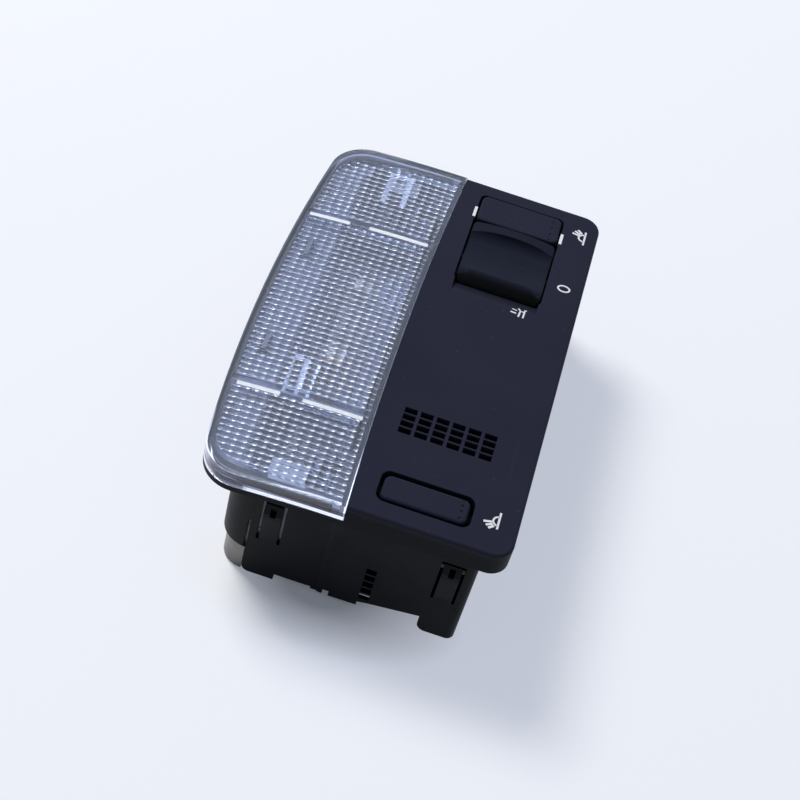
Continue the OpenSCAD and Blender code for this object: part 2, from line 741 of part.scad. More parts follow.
// Rocker: end faces turned about the pivot, a lip with a hollow in front of it, a shallow scoop, a round near
// crest, and a tail under the pivot. Sizes are taken from the pivot, with Y along and Z up.
rocker_x0 = window_x0 + rocker_gap;
rocker_x1 = window_x1 - rocker_gap;
rocker_t = 1.6;
hub_r = 2.6;
lip_z = pivot_d + lip_h;
crest_z = pivot_d + crest_h;
crest_y = crest_r - rocker_r;
hollow_y = sqrt(rocker_r * rocker_r - lip_z * lip_z) - lip_w - lip_hollow_r;
hollow_z = pivot_d - scoop_d + lip_hollow_r;
scoop_z = pivot_d - scoop_d + scoop_r;
scoop_y = crest_y + sqrt(scoop_r * scoop_r - (scoop_z - crest_z) * (scoop_z - crest_z));
arch_r = arc_radius((rocker_x1 - rocker_x0) / 2, lip_fall);

module rocker_side(skin) {
    difference() {
        circle(r = rocker_r - skin, $fn = 128);
        intersection() {
            translate([scoop_y, scoop_z]) circle(r = scoop_r + skin, $fn = 256);
            translate([-2 * rocker_r, -rocker_r]) square([2 * rocker_r + hollow_y, 4 * rocker_r]);
        }
        translate([hollow_y, hollow_z]) circle(r = lip_hollow_r + skin);
        translate([-2 * rocker_r, lip_z - skin]) square(4 * rocker_r);
        difference() {
            translate([crest_y - 2 * rocker_r, crest_z - crest_r]) square(2 * rocker_r);
            translate([crest_y, crest_z - crest_r]) circle(r = crest_r - skin);
        }
    }
}

module dome_rocker() {
    color("#2b2c31") translate([0, pivot_y, pivot_z]) difference() {
        union() {
            difference() {
                intersection() {
                    along_x(rocker_x0, rocker_x1) rocker_side(0);
                    translate([0, 0, -cheek_drop]) linear_extrude(cheek_drop + lip_z + 1)
                        round_rect(rocker_x0, rocker_x1, -rocker_r, rocker_r, rocker_corner_r, rocker_corner_r);
                    translate([(rocker_x0 + rocker_x1) / 2, 2 * rocker_r, lip_z - arch_r])
                        rotate([90, 0, 0]) cylinder(r = arch_r, h = 4 * rocker_r, $fn = 256);
                }
                along_x(rocker_x0 + rocker_t, rocker_x1 - rocker_t) difference() {
                    rocker_side(rocker_t);
                    circle(r = hub_r);
                }
            }
            along_x(rocker_x0, rocker_x1) circle(r = hub_r);
            along_x((rocker_x0 + rocker_x1) / 2 - 1.5, (rocker_x0 + rocker_x1) / 2 + 1.5) {
                translate([-1, -tail_r + 1]) square([2, tail_r - 1]);
                translate([0, -tail_r + 1]) circle(r = 1);
            }
        }
        along_x(window_x0 - 4, window_x1 + 4) circle(r = pin_r + run_gap);
    }
}

module rocker_pin() {
    color("#b9bcc0") translate([window_x0 - cheek_gap - cheek_t, pivot_y, pivot_z])
        rotate([0, 90, 0]) cylinder(r = pin_r, h = window_w + 2 * cheek_gap + 2 * cheek_t);
}

// Sprung leaf on the board: a cradle about the pivot that the rocker's tail clicks along
module detent_leaf() {
    leaf_r = tail_r + clear_gap;
    leaf_w = 5;
    half_angle = 32;
    rest_z = board_z1 - pivot_z;
    color("#c49a5c") translate([(rocker_x0 + rocker_x1) / 2 - leaf_w / 2, pivot_y, pivot_z])
        rotate([90, 0, 90]) linear_extrude(leaf_w)
            polygon(concat(
                arc_points(0, 0, leaf_r, 270 - half_angle, 270 + half_angle, 16),
                [[leaf_r * sin(half_angle) + 3, rest_z + leaf_t], [leaf_r * sin(half_angle) + 3, rest_z],
                 [leaf_r * sin(half_angle), rest_z]],
                arc_points(0, 0, leaf_r + leaf_t, 270 + half_angle - 6, 270 - half_angle + 6, 14),
                [[-leaf_r * sin(half_angle), rest_z], [-leaf_r * sin(half_angle) - 3, rest_z],
                 [-leaf_r * sin(half_angle) - 3, rest_z + leaf_t]]));
}

// Push button: a thin cap, a narrower body under it, a stem, and a lug each side under the panel
near_cap = [near_x0 + near_gap, near_x0 + near_open_w - near_gap,
            near_y0 + near_gap, near_y0 + near_open_l - near_gap];
far_cap = [window_x0 + button_gap, window_x1 - button_gap,
           window_y1 - button_gap - far_button_l, window_y1 - button_gap];
far_cap_z = face_z + button_h;
near_cap_z = face_z + near_button_h;
lug_z = plate_z - clear_gap - lug_t;

module push_button(c, cap_z, gap, near_inset) {
    cx = (c[0] + c[1]) / 2;
    cy = (c[2] + c[3]) / 2;
    color("#2b2c31") {
        difference() {
            union() {
                translate([0, 0, cap_z - button_t]) linear_extrude(button_t)
                    round_rect(c[0], c[1], c[2], c[3], button_r, button_r);
                translate([0, 0, cap_z - button_t - 5]) linear_extrude(5 + eps)
                    round_rect(c[0] + skirt_inset, c[1] - skirt_inset, c[2] + near_inset, c[3] - skirt_inset, 1, 1);
                translate([c[0] - gap - lug_over, cy - 1.5, lug_z])
                    cube([c[1] - c[0] + 2 * gap + 2 * lug_over, 3, lug_t]);
            }
            translate([0, 0, cap_z - button_t - 6]) linear_extrude(6)
                round_rect(c[0] + skirt_inset + button_wall, c[1] - skirt_inset - button_wall,
                           c[2] + near_inset + button_wall, c[3] - skirt_inset - button_wall, 0.5, 0.5);
        }
        translate([cx, cy, board_z1 + switch_h + plunger_h + button_travel + fit_gap])
            cylinder(r = stem_r, h = cap_z - button_t + eps - board_z1 - switch_h - plunger_h - button_travel - fit_gap);
    }
}

module reading_button_far() { push_button(far_cap, far_cap_z, button_gap, rocker_side_inset); }
module reading_button_near() { push_button(near_cap, near_cap_z, near_gap, skirt_inset); }

// Coil spring round a button's stem, from the switch to the cap
module coil_spring(c, cap_z) {
    z0 = board_z1 + switch_h + wire_r;
    z1 = cap_z - button_t - wire_r - touch_gap;
    sides = 6;
    steps = 12;
    rings = spring_turns * steps;
    points = [for (i = [0 : rings], s = [0 : sides - 1])
        let (a = 360 * i / steps, b = 360 * s / sides, r = spring_r + wire_r * cos(b))
            [r * cos(a), r * sin(a), z0 + (z1 - z0) * i / rings + wire_r * sin(b)]];
    faces = concat(
        [[for (s = [0 : sides - 1]) s]],
        [[for (s = [sides - 1 : -1 : 0]) rings * sides + s]],
        [for (i = [0 : rings - 1], s = [0 : sides - 1])
            [i * sides + s, (i + 1) * sides + s, (i + 1) * sides + (s + 1) % sides, i * sides + (s + 1) % sides]]);
    color("#c9ccd0") translate([(c[0] + c[1]) / 2, (c[2] + c[3]) / 2, 0]) polyhedron(points, faces);
}

module button_spring_far() { coil_spring(far_cap, far_cap_z); }
module button_spring_near() { coil_spring(near_cap, near_cap_z); }

// Small push switch soldered to the board under each button
module push_switch(c) {
    cx = (c[0] + c[1]) / 2;
    cy = (c[2] + c[3]) / 2;
    color("#3a3c42") {
        translate([cx - switch_w / 2, cy - switch_w / 2, board_z1]) cube([switch_w, switch_w, switch_h - touch_gap]);
        translate([cx, cy, board_z1 + switch_h - 1]) cylinder(r = 1.4, h = plunger_h + 1);
    }
}

module push_switch_far() { push_switch(far_cap); }
module push_switch_near() { push_switch(near_cap); }

module circuit_board() {
    color("#2f6b46") difference() {
        translate([board_x0, -board_half, board_z0]) cube([board_x1 - board_x0, 2 * board_half, board_t - touch_gap]);
        for (x = [boss_x0, boss_x1], y = [boss_near_y, boss_mid_y])
            translate([x, y, board_z0 - 1]) cylinder(r = 1.6, h = board_t + 2);
        pin_grid() translate([-pin_w / 2 - touch_gap, -pin_w / 2 - touch_gap, 0])
            cube([pin_w + 2 * touch_gap, pin_w + 2 * touch_gap, face_z]);
    }
}

module board_screws() {
    color("#8f9398") for (x = [boss_x0, boss_x1], y = [boss_near_y, boss_mid_y]) translate([x, y, 0]) {
        translate([0, 0, board_z0 - 2]) cylinder(r = 2.6, h = 2 - touch_gap);
        translate([0, 0, board_z0 - 1]) cylinder(r = pilot_r - touch_gap, h = 9);
    }
}

module microphone() {
    color("#7d8186") {
        translate([mic_x, mic_y, plate_z - 7]) cylinder(r = mic_r, h = 6);
        for (dx = [-1.27, 1.27])
            translate([mic_x + dx, mic_y, board_z1]) cylinder(r = 0.3, h = plate_z - 6.5 - board_z1);
    }
}

module microphone_seal() {
    color("#1a1a1a") difference() {
        translate([mic_x, mic_y, plate_z - 7.2]) cylinder(r = mic_r + seal_t, h = 7.1);
        translate([mic_x, mic_y, plate_z - 8]) cylinder(r = mic_r + touch_gap, h = 9);
    }
}

// Socket for the car's plug, through the floor, with its flange on the floor's inner side
module connector_shell() {
    color("#ece9e0") difference() {
        union() {
            translate([socket_x - socket_w / 2 - socket_wall, socket_y - socket_l / 2 - socket_wall, socket_z0])
                cube([socket_w + 2 * socket_wall, socket_l + 2 * socket_wall, header_z + header_t - socket_z0]);
            translate([socket_x - socket_w / 2 - 3, socket_y - socket_l / 2 - 3, floor_z + 2 + touch_gap])
                cube([socket_w + 6, socket_l + 6, 1.6]);
        }
        translate([socket_x - socket_w / 2, socket_y - socket_l / 2, socket_z0 - 1])
            cube([socket_w, socket_l, header_z - socket_z0 + 1]);
        pin_grid() translate([-pin_w / 2 - touch_gap, -pin_w / 2 - touch_gap, 0])
            cube([pin_w + 2 * touch_gap, pin_w + 2 * touch_gap, face_z]);
    }
}

// Places of the connector's pins
module pin_grid() {
    for (i = [0 : pin_count - 1], side = [-1, 1])
        translate([socket_x + (i - (pin_count - 1) / 2) * pin_pitch, socket_y + side * 2, 0]) children();
}

module connector_pins() {
    color("#c9b06a") pin_grid() translate([-pin_w / 2, -pin_w / 2, pin_tip_z])
        cube([pin_w, pin_w, board_z1 + 0.8 - pin_tip_z]);
}

bezel();
housing();
lens();
index_marks();
heat_shield();
reflector();
festoon_glass();
festoon_caps();
festoon_filament();
festoon_clips();
reading_bulb_far();
reading_bulb_near();
bulb_holder_far();
bulb_holder_near();
lamp_rails();
dome_rocker();
rocker_pin();
detent_leaf();
reading_button_far();
reading_button_near();
button_spring_far();
button_spring_near();
push_switch_far();
push_switch_near();
circuit_board();
board_screws();
microphone();
microphone_seal();
connector_shell();
connector_pins();
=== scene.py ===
import math
import bmesh
import bpy
from mathutils import Matrix, Vector


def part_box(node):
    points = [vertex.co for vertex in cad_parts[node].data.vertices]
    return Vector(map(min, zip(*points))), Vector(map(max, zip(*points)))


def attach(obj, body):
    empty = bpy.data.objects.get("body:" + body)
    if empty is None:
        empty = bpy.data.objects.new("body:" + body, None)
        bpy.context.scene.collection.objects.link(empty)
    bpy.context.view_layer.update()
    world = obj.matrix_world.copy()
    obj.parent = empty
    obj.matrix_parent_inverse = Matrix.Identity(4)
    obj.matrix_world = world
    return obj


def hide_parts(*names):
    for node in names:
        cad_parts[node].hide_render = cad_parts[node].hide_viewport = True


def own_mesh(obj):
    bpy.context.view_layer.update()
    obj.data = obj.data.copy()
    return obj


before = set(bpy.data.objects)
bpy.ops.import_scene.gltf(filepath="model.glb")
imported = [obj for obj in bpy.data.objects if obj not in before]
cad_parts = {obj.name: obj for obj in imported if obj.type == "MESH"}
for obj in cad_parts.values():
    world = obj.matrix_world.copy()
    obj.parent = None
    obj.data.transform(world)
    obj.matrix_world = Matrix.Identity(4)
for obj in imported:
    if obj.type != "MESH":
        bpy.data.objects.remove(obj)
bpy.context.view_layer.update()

mm = 0.001
scene = bpy.context.scene
bpy.ops.object.select_all(action="DESELECT")

# The view of the photograph: the lamp lies on its back and is seen from above its near end, with the
# camera rolled so that the length runs up and to the right. The lens length goes with an 800 x 800 frame.
camera_data = bpy.data.cameras.new("camera")
camera_data.lens = 76.5
camera_data.sensor_width = 36
camera_data.clip_start = 0.01
camera = bpy.data.objects.new("camera", camera_data)
camera.location = (17.0 * mm, -367.8 * mm, 409.6 * mm)
camera.rotation_euler = [math.radians(a) for a in (41.638, -11.244, 14.604)]
scene.collection.objects.link(camera)
scene.camera = camera

# The housing is one black moulding in glass-filled nylon, with spring arms in its end walls that snap into the
# roof panel. It is shinier than the front, with faint clouds and marks of handling, and painted blacker: a
# little of that is its own black, and the rest is painted shade on its end walls, which face away from the
# light.


def node_group(name, inputs, outputs):
    """An empty shader group with these named sockets, and its two end nodes."""
    group = bpy.data.node_groups.new(name, "ShaderNodeTree")
    for socket_name, kind, default in inputs:
        socket = group.interface.new_socket(socket_name, in_out="INPUT", socket_type=kind)
        socket.default_value = default
    for socket_name, kind in outputs:
        group.interface.new_socket(socket_name, in_out="OUTPUT", socket_type=kind)
    return group, group.nodes.new("NodeGroupInput"), group.nodes.new("NodeGroupOutput")


FLOAT = "NodeSocketFloat"

# Fine moulded grain: a height for the bump, and a slow cloudy tone that shifts colour and gloss.
grain_group, grain_in, grain_out = node_group(
    "moulded_grain",
    [("Grain per metre", FLOAT, 3000.0), ("Cloud per metre", FLOAT, 40.0)],
    [("Height", FLOAT), ("Tone", FLOAT)])
nodes, links = grain_group.nodes, grain_group.links
coords = nodes.new("ShaderNodeTexCoord")
grain = nodes.new("ShaderNodeTexNoise")
grain.inputs["Detail"].default_value = 3.0
grain.inputs["Roughness"].default_value = 0.6
cloud = nodes.new("ShaderNodeTexNoise")
cloud.inputs["Detail"].default_value = 4.0
cloud.inputs["Distortion"].default_value = 0.4
links.new(coords.outputs["Object"], grain.inputs["Vector"])
links.new(coords.outputs["Object"], cloud.inputs["Vector"])
links.new(grain_in.outputs["Grain per metre"], grain.inputs["Scale"])
links.new(grain_in.outputs["Cloud per metre"], cloud.inputs["Scale"])
links.new(grain.outputs["Fac"], grain_out.inputs["Height"])
links.new(cloud.outputs["Fac"], grain_out.inputs["Tone"])


def material(name):
    """A new node material, its node tree and its Principled shader."""
    made = bpy.data.materials.new(name)
    made.use_nodes = True
    tree = made.node_tree
    return made, tree, tree.nodes["Principled BSDF"]


def mixed_colour(tree, factor, low, high):
    """A colour that runs from low to high with the factor socket."""
    mix = tree.nodes.new("ShaderNodeMix")
    mix.data_type = "RGBA"
    mix.inputs["A"].default_value = (*low, 1)
    mix.inputs["B"].default_value = (*high, 1)
    tree.links.new(factor, mix.inputs["Factor"])
    return mix.outputs["Result"]


def mapped(tree, factor, low, high, start=0.3, stop=0.7):
    """The factor socket's values from start to stop, spread from low to high."""
    spread = tree.nodes.new("ShaderNodeMapRange")
    spread.inputs["From Min"].default_value = start
    spread.inputs["From Max"].default_value = stop
    spread.inputs["To Min"].default_value = low
    spread.inputs["To Max"].default_value = high
    tree.links.new(factor, spread.inputs["Value"])
    return spread.outputs["Result"]


def grained(name, low, high, gloss, grain_scale, cloud_scale, depth, metal=0.0, specular=0.5):
    """A moulded or drawn surface: two close tones, a range of roughness, and fine grain as bump."""
    made, tree, shader = material(name)
    group = tree.nodes.new("ShaderNodeGroup")
    group.node_tree = grain_group
    group.inputs["Grain per metre"].default_value = grain_scale
    group.inputs["Cloud per metre"].default_value = cloud_scale
    tone = mapped(tree, group.outputs["Tone"], 0.0, 1.0)
    tree.links.new(mixed_colour(tree, tone, low, high), shader.inputs["Base Color"])
    tree.links.new(mapped(tree, group.outputs["Tone"], *gloss), shader.inputs["Roughness"])
    bump = tree.nodes.new("ShaderNodeBump")
    bump.inputs["Distance"].default_value = depth
    bump.inputs["Strength"].default_value = 1.0
    tree.links.new(group.outputs["Height"], bump.inputs["Height"])
    tree.links.new(bump.outputs["Normal"], shader.inputs["Normal"])
    shader.inputs["Metallic"].default_value = metal
    shader.inputs["Specular IOR Level"].default_value = specular
    return made, tree, shader


def painted_over(tree, shader, mask, tint):
    """Lays a colour over the shader's own, where the mask is one."""
    over = tree.nodes.new("ShaderNodeMix")
    over.data_type = "RGBA"
    over.inputs["B"].default_value = (*tint, 1)
    tree.links.new(shader.inputs["Base Color"].links[0].from_socket, over.inputs["A"])
    tree.links.new(mask, over.inputs["Factor"])
    tree.links.new(over.outputs["Result"], shader.inputs["Base Color"])


# Marks of handling: short scratches that all run one way across a cloudy area, and a few specks of dust.
handled_group, handled_in, handled_out = node_group(
    "handling_marks",
    [("Scratches per metre", FLOAT, 900.0), ("Scratch amount", FLOAT, 0.5), ("Specks per metre", FLOAT, 260.0)],
    [("Scratches", FLOAT), ("Dust", FLOAT)])
nodes, links = handled_group.nodes, handled_group.links
coords = nodes.new("ShaderNodeTexCoord")
slanted = nodes.new("ShaderNodeMapping")
slanted.inputs["Rotation"].default_value = (0.3, 0.2, 0.9)
slanted.inputs["Scale"].default_value = (1.0, 0.03, 1.0)
fine = nodes.new("ShaderNodeTexNoise")
fine.inputs["Detail"].default_value = 1.0
wide = nodes.new("ShaderNodeTexNoise")
wide.inputs["Scale"].default_value = 45.0
thin = nodes.new("ShaderNodeMapRange")
thin.inputs["From Min"].default_value = 0.66
thin.inputs["From Max"].default_value = 0.72
patchy = nodes.new("ShaderNodeMapRange")
patchy.inputs["From Min"].default_value = 0.5
patchy.inputs["From Max"].default_value = 0.62
both = nodes.new("ShaderNodeMath")
both.operation = "MULTIPLY"
amount = nodes.new("ShaderNodeMath")
amount.operation = "MULTIPLY"
specks = nodes.new("ShaderNodeTexVoronoi")
speck_size = nodes.new("ShaderNodeMapRange")
speck_size.inputs["From Min"].default_value = 0.06
speck_size.inputs["From Max"].default_value = 0.03
links.new(coords.outputs["Object"], slanted.inputs["Vector"])
links.new(slanted.outputs["Vector"], fine.inputs["Vector"])
links.new(handled_in.outputs["Scratches per metre"], fine.inputs["Scale"])
links.new(coords.outputs["Object"], wide.inputs["Vector"])
links.new(fine.outputs["Fac"], thin.inputs["Value"])
links.new(wide.outputs["Fac"], patchy.inputs["Value"])
links.new(thin.outputs["Result"], both.inputs[0])
links.new(patchy.outputs["Result"], both.inputs[1])
links.new(both.outputs["Value"], amount.inputs[0])
links.new(handled_in.outputs["Scratch amount"], amount.inputs[1])
links.new(amount.outputs["Value"], handled_out.inputs["Scratches"])
links.new(coords.outputs["Object"], specks.inputs["Vector"])
links.new(handled_in.outputs["Specks per metre"], specks.inputs["Scale"])
links.new(specks.outputs["Distance"], speck_size.inputs["Value"])
links.new(speck_size.outputs["Result"], handled_out.inputs["Dust"])


def marked(tree, shader, scratches, amount, specks, scratch_tint, dust_tint):
    """Adds scratches and dust over a finish."""
    marks = tree.nodes.new("ShaderNodeGroup")
    marks.node_tree = handled_group
    marks.inputs["Scratches per metre"].default_value = scratches
    marks.inputs["Scratch amount"].default_value = amount
    marks.inputs["Specks per metre"].default_value = specks
    painted_over(tree, shader, marks.outputs["Scratches"], scratch_tint)
    painted_over(tree, shader, marks.outputs["Dust"], dust_tint)


def axis_of(tree, axis):
    """The place along one axis of the object, in metres."""
    where = tree.nodes.new("ShaderNodeTexCoord")
    axes = tree.nodes.new("ShaderNodeSeparateXYZ")
    tree.links.new(where.outputs["Object"], axes.inputs["Vector"])
    return axes.outputs[axis]


def fade(tree, axis, none_at, full_at):
    """A mask from nought to one between two places along an axis of the object, in millimetres."""
    return mapped(tree, axis_of(tree, axis), 0.0, 1.0, none_at * mm, full_at * mm)


def dress(node, finish):
    """A CAD node keeps its shape and takes this material."""
    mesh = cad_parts[node].data
    mesh.materials.clear()
    mesh.materials.append(finish)


# Its very dark tone is partly its own black and partly painted shade for end walls that face away from the
# light.
housing_black, housing_tree, housing_shader = grained(
    "housing_black", (0.0034, 0.0037, 0.0052), (0.0058, 0.0062, 0.0084), (0.5, 0.38),
    grain_scale=2400, cloud_scale=60, depth=0.02 * mm, specular=0.1)
marked(housing_tree, housing_shader, 700, 0.5, 240, (0.012, 0.013, 0.016), (0.03, 0.03, 0.032))
dress("housing", housing_black)

# The front bezel is one black ABS moulding: the panel with its skirt, the switch window, the ramp that lets
# a finger reach under the rocker, the grille, and the flange that carries the lens. It has a fine matt grain
# and eased front edges, and its skirt fits over the housing's rim.


def only(piece):
    """Makes this the one selected object."""
    bpy.ops.object.select_all(action="DESELECT")
    piece.select_set(True)
    bpy.context.view_layer.objects.active = piece


def cad_copy(node, name):
    """A merged copy of a CAD node's mesh, ready to be eased and cut."""
    piece = bpy.data.objects.new(name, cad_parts[node].data.copy())
    scene.collection.objects.link(piece)
    piece.data.materials.clear()
    only(piece)
    bpy.ops.mesh.customdata_custom_splitnormals_clear()
    bpy.ops.object.mode_set(mode="EDIT")
    bpy.ops.mesh.select_all(action="SELECT")
    bpy.ops.mesh.remove_doubles(threshold=0.002 * mm)
    bpy.ops.mesh.dissolve_limited(angle_limit=math.radians(0.3))
    bpy.ops.mesh.select_all(action="DESELECT")
    bpy.ops.object.mode_set(mode="OBJECT")
    return piece


def ease_edges(piece, chosen, width, segments):
    """Bevels the sharp edges that the test picks out, given an edge's middle and its two face normals."""
    only(piece)
    bpy.ops.object.mode_set(mode="EDIT")
    bpy.ops.mesh.select_mode(type="EDGE")
    bpy.ops.mesh.select_all(action="DESELECT")
    shape = bmesh.from_edit_mesh(piece.data)
    for edge in shape.edges:
        if len(edge.link_faces) == 2 and edge.calc_face_angle() > math.radians(25):
            middle = (edge.verts[0].co + edge.verts[1].co) / 2
            if chosen(middle, edge.link_faces[0].normal, edge.link_faces[1].normal):
                edge.select = True
    bmesh.update_edit_mesh(piece.data)
    bpy.ops.mesh.bevel(offset=width, segments=segments, profile=0.5, clamp_overlap=True, offset_type="OFFSET")
    bpy.ops.mesh.select_all(action="DESELECT")
    bpy.ops.object.mode_set(mode="OBJECT")


def smooth(piece, angle=32):
    """Smooth shading, with edges sharper than the angle kept crisp and large faces kept flat."""
    only(piece)
    bpy.ops.object.shade_smooth_by_angle(angle=math.radians(angle))
    even = piece.modifiers.new("even", "WEIGHTED_NORMAL")
    even.keep_sharp = True
    bpy.ops.object.modifier_apply(modifier=even.name)


def place(piece, finish, body, slot, *stands_for):
    """Gives a finished piece its material, its body and the CAD nodes that it replaces. The slot is not used.
    """
    piece.data.materials.clear()
    piece.data.materials.append(finish)
    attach(piece, body)
    if stands_for:
        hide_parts(*stands_for)


def panel_edge(middle, a, b):
    """Picks the edges where the panel's flat face turns down into a wall or an opening."""
    upper, lower = max(a.z, b.z), min(a.z, b.z)
    at_face = middle.z > face_z - 0.1 * mm and middle.x > panel_left
    return at_face and upper > 0.9 and lower < 0.5 and upper - lower >= 0.5


face_z = 46 * mm
panel_left = 5 * mm
panel_black, panel_tree, panel_shader = grained(
    "panel_black", (0.0176, 0.0187, 0.0338), (0.0218, 0.0231, 0.0412), (0.5, 0.6),
    grain_scale=2600, cloud_scale=26, depth=0.012 * mm, specular=0.11)
# Painted shade: below its face the panel darkens down its walls, into the skirt, the ramp and the switch
# window.
painted_over(panel_tree, panel_shader, fade(panel_tree, "Z", 46.0, 43.5), (0.003, 0.0033, 0.0055))
finger_marks = (500, 0.35, 210, (0.026, 0.027, 0.04), (0.05, 0.05, 0.06))
marked(panel_tree, panel_shader, *finger_marks)

bezel = cad_copy("bezel", "front_bezel")
ease_edges(bezel, panel_edge, 0.35 * mm, 3)
smooth(bezel)
place(bezel, panel_black, "lamp", "panel_black", "bezel")

# The rocker and the two reading lamp buttons are moulded in the same black plastic. Their edges are round to
# the finger, and each has a row of four small dots to be felt in the dark. The rocker turns on a pin, and the
# buttons slide in the panel's openings.


def cut_dots(piece, centres, radius, depth):
    """Sinks small round-bottomed dots into the top of a piece."""
    cutters = []
    for x, y, z in centres:
        bpy.ops.mesh.primitive_uv_sphere_add(segments=16, ring_count=8, radius=radius,
                                             location=(x, y, z + radius - depth))
        cutters.append(bpy.context.object)
    only(cutters[0])
    for cutter in cutters:
        cutter.select_set(True)
    bpy.ops.object.join()
    cutter = bpy.context.object
    only(piece)
    cut = piece.modifiers.new("dots", "BOOLEAN")
    cut.operation = "DIFFERENCE"
    cut.solver = "EXACT"
    cut.object = cutter
    bpy.ops.object.modifier_apply(modifier=cut.name)
    bpy.data.objects.remove(cutter)


dot_r = 0.5 * mm
dot_depth = 0.32 * mm
for side, ease, segments, dots_x, dots_y in (
        ("near", 1.1 * mm, 5, 30.4, (-59.3, -61.4, -63.4, -65.9)),
        ("far", 0.7 * mm, 4, 31.9, (66.2, 63.3, 60.1, 57.2))):
    node = "reading_button_" + side
    _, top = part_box(node)
    button = cad_copy(node, node + "_cap")
    ease_edges(button, lambda middle, a, b: middle.z > top.z - 0.05 * mm, ease, segments)
    cut_dots(button, [(dots_x * mm, y * mm, top.z) for y in dots_y], dot_r, dot_depth)
    smooth(button)
    place(button, panel_black, side + "_button", "panel_black", node)

rocker_foot = 40 * mm
rocker_ease = 0.8 * mm
rocker_dots_y = 43.7 * mm
rocker_dot_r = 0.4 * mm
rocker_dot_depth = 0.2 * mm
look_from = 60 * mm
down = (0, 0, -1)
rocker = cad_copy("dome_rocker", "dome_rocker_cap")
ease_edges(rocker, lambda middle, a, b: middle.z > rocker_foot, rocker_ease, 4)
# The rocker's copy of the panel plastic is painted darker all over, as painted shade in its scoop under the
# lip, and its near face is painted darker still towards the window, as painted shade.
rocker_black_and_shade, rocker_tree, rocker_shader = grained(
    "rocker_black_and_shade", (0.0104, 0.012, 0.0215), (0.0132, 0.0152, 0.027), (0.5, 0.6),
    grain_scale=2600, cloud_scale=26, depth=0.012 * mm, specular=0.11)
painted_over(rocker_tree, rocker_shader, fade(rocker_tree, "Y", 32.5, 29.0), (0.0012, 0.0014, 0.002))
marked(rocker_tree, rocker_shader, *finger_marks)
rocker_dots = []
for x in (23.0, 26.1, 28.9, 31.6):
    _, under, _, _ = rocker.ray_cast((x * mm, rocker_dots_y, look_from), down)
    rocker_dots.append((x * mm, rocker_dots_y, under.z))
cut_dots(rocker, rocker_dots, rocker_dot_r, rocker_dot_depth)
smooth(rocker, 40)
place(rocker, rocker_black_and_shade, "rocker", "panel_black", "dome_rocker")

# The index marks are two short bars of matt white plastic. They are pressed into slots in the panel, one at
# each side edge of the switch window, level with its face.
print_white, _, _ = grained(
    "print_white", (0.8, 0.81, 0.82), (0.86, 0.86, 0.86), (0.42, 0.55),
    grain_scale=5000, cloud_scale=90, depth=0.003 * mm)
dress("index_marks", print_white)

# The print on the panel is white pad print, stamped on after moulding: a reading lamp sign beside each button,
# and a nought and a door lamp sign beside the rocker. It is thin ink, and follows the panel's face.
print_lift = 0.02 * mm


def printed(name, outlines):
    """A thin print that lies on the panel, from closed outlines in millimetres."""
    shape = bmesh.new()
    for outline in outlines:
        corners = []
        for x, y in outline:
            _, under, _, _ = bezel.ray_cast((x * mm, y * mm, look_from), down)
            corners.append(shape.verts.new((x * mm, y * mm, under.z + print_lift)))
        shape.faces.new(corners)
    for face in shape.faces:
        face.normal_update()
        if face.normal.z < 0:
            face.normal_flip()
    mesh = bpy.data.meshes.new(name)
    shape.to_mesh(mesh)
    shape.free()
    piece = bpy.data.objects.new(name, mesh)
    scene.collection.objects.link(piece)
    place(piece, print_white, "lamp", "print_white")


def ring_quads(cx, cy, rx, ry, width, start=0.0, stop=1.0, count=32):
    """An oval ring as quads, or a part of one, in turns from the right."""
    quads = []
    for i in range(count):
        a, b = (2 * math.pi * (start + (stop - start) * k / count) for k in (i, i + 1))
        outer = [(cx + rx * math.cos(t), cy + ry * math.sin(t)) for t in (a, b)]
        inner = [(cx + (rx - width) * math.cos(t), cy + (ry - width) * math.sin(t)) for t in (b, a)]
        quads.append(outer + inner)
    return quads


def stroke(x0, y0, x1, y1, width, count=8):
    """A straight printed line with square ends, in short lengths so that it follows the panel."""
    start, end = Vector((x0, y0)), Vector((x1, y1))
    along = (end - start).normalized() * width / 2
    side = Vector((-along.y, along.x))
    stops = [start.lerp(end, k / count) for k in range(count + 1)]
    return [[tuple(corner) for corner in (a - side, b - side, b + side, a + side)]
            for a, b in zip(stops, stops[1:])]


printed("print_nought", ring_quads(41.04, 37.45, 2.2, 1.65, 0.6))
printed("print_far_reading_lamp",
        stroke(43.13, 60.6, 43.13, 67.2, 0.62)
        + ring_quads(43.0, 63.85, 2.15, 1.95, 0.6, 0.25, 0.75, 16)
        + stroke(38.8, 65.05, 41.1, 64.6, 0.75) + stroke(39.5, 66.3, 41.4, 65.25, 0.75)
        + stroke(40.4, 67.2, 42.0, 65.8, 0.75))
printed("print_near_reading_lamp",
        stroke(41.23, -65.6, 41.23, -59.5, 0.62)
        + ring_quads(41.1, -62.8, 1.75, 1.85, 0.55, 0.25, 0.75, 16)
        + stroke(37.0, -64.1, 39.4, -63.5, 0.75) + stroke(37.9, -65.2, 39.7, -64.2, 0.7)
        + stroke(38.8, -66.0, 40.2, -64.7, 0.75))
printed("print_door_lamp",
        stroke(27.2, 21.5, 28.9, 21.15, 0.5) + stroke(26.95, 19.95, 28.8, 19.8, 0.55)
        + stroke(29.1, 22.85, 30.0, 21.5, 0.5) + stroke(29.95, 21.6, 29.7, 18.6, 0.55)
        + stroke(30.0, 21.45, 31.1, 21.4, 0.5) + stroke(31.25, 22.5, 31.2, 18.6, 0.55)
        + stroke(31.1, 22.3, 31.75, 23.0, 0.5))

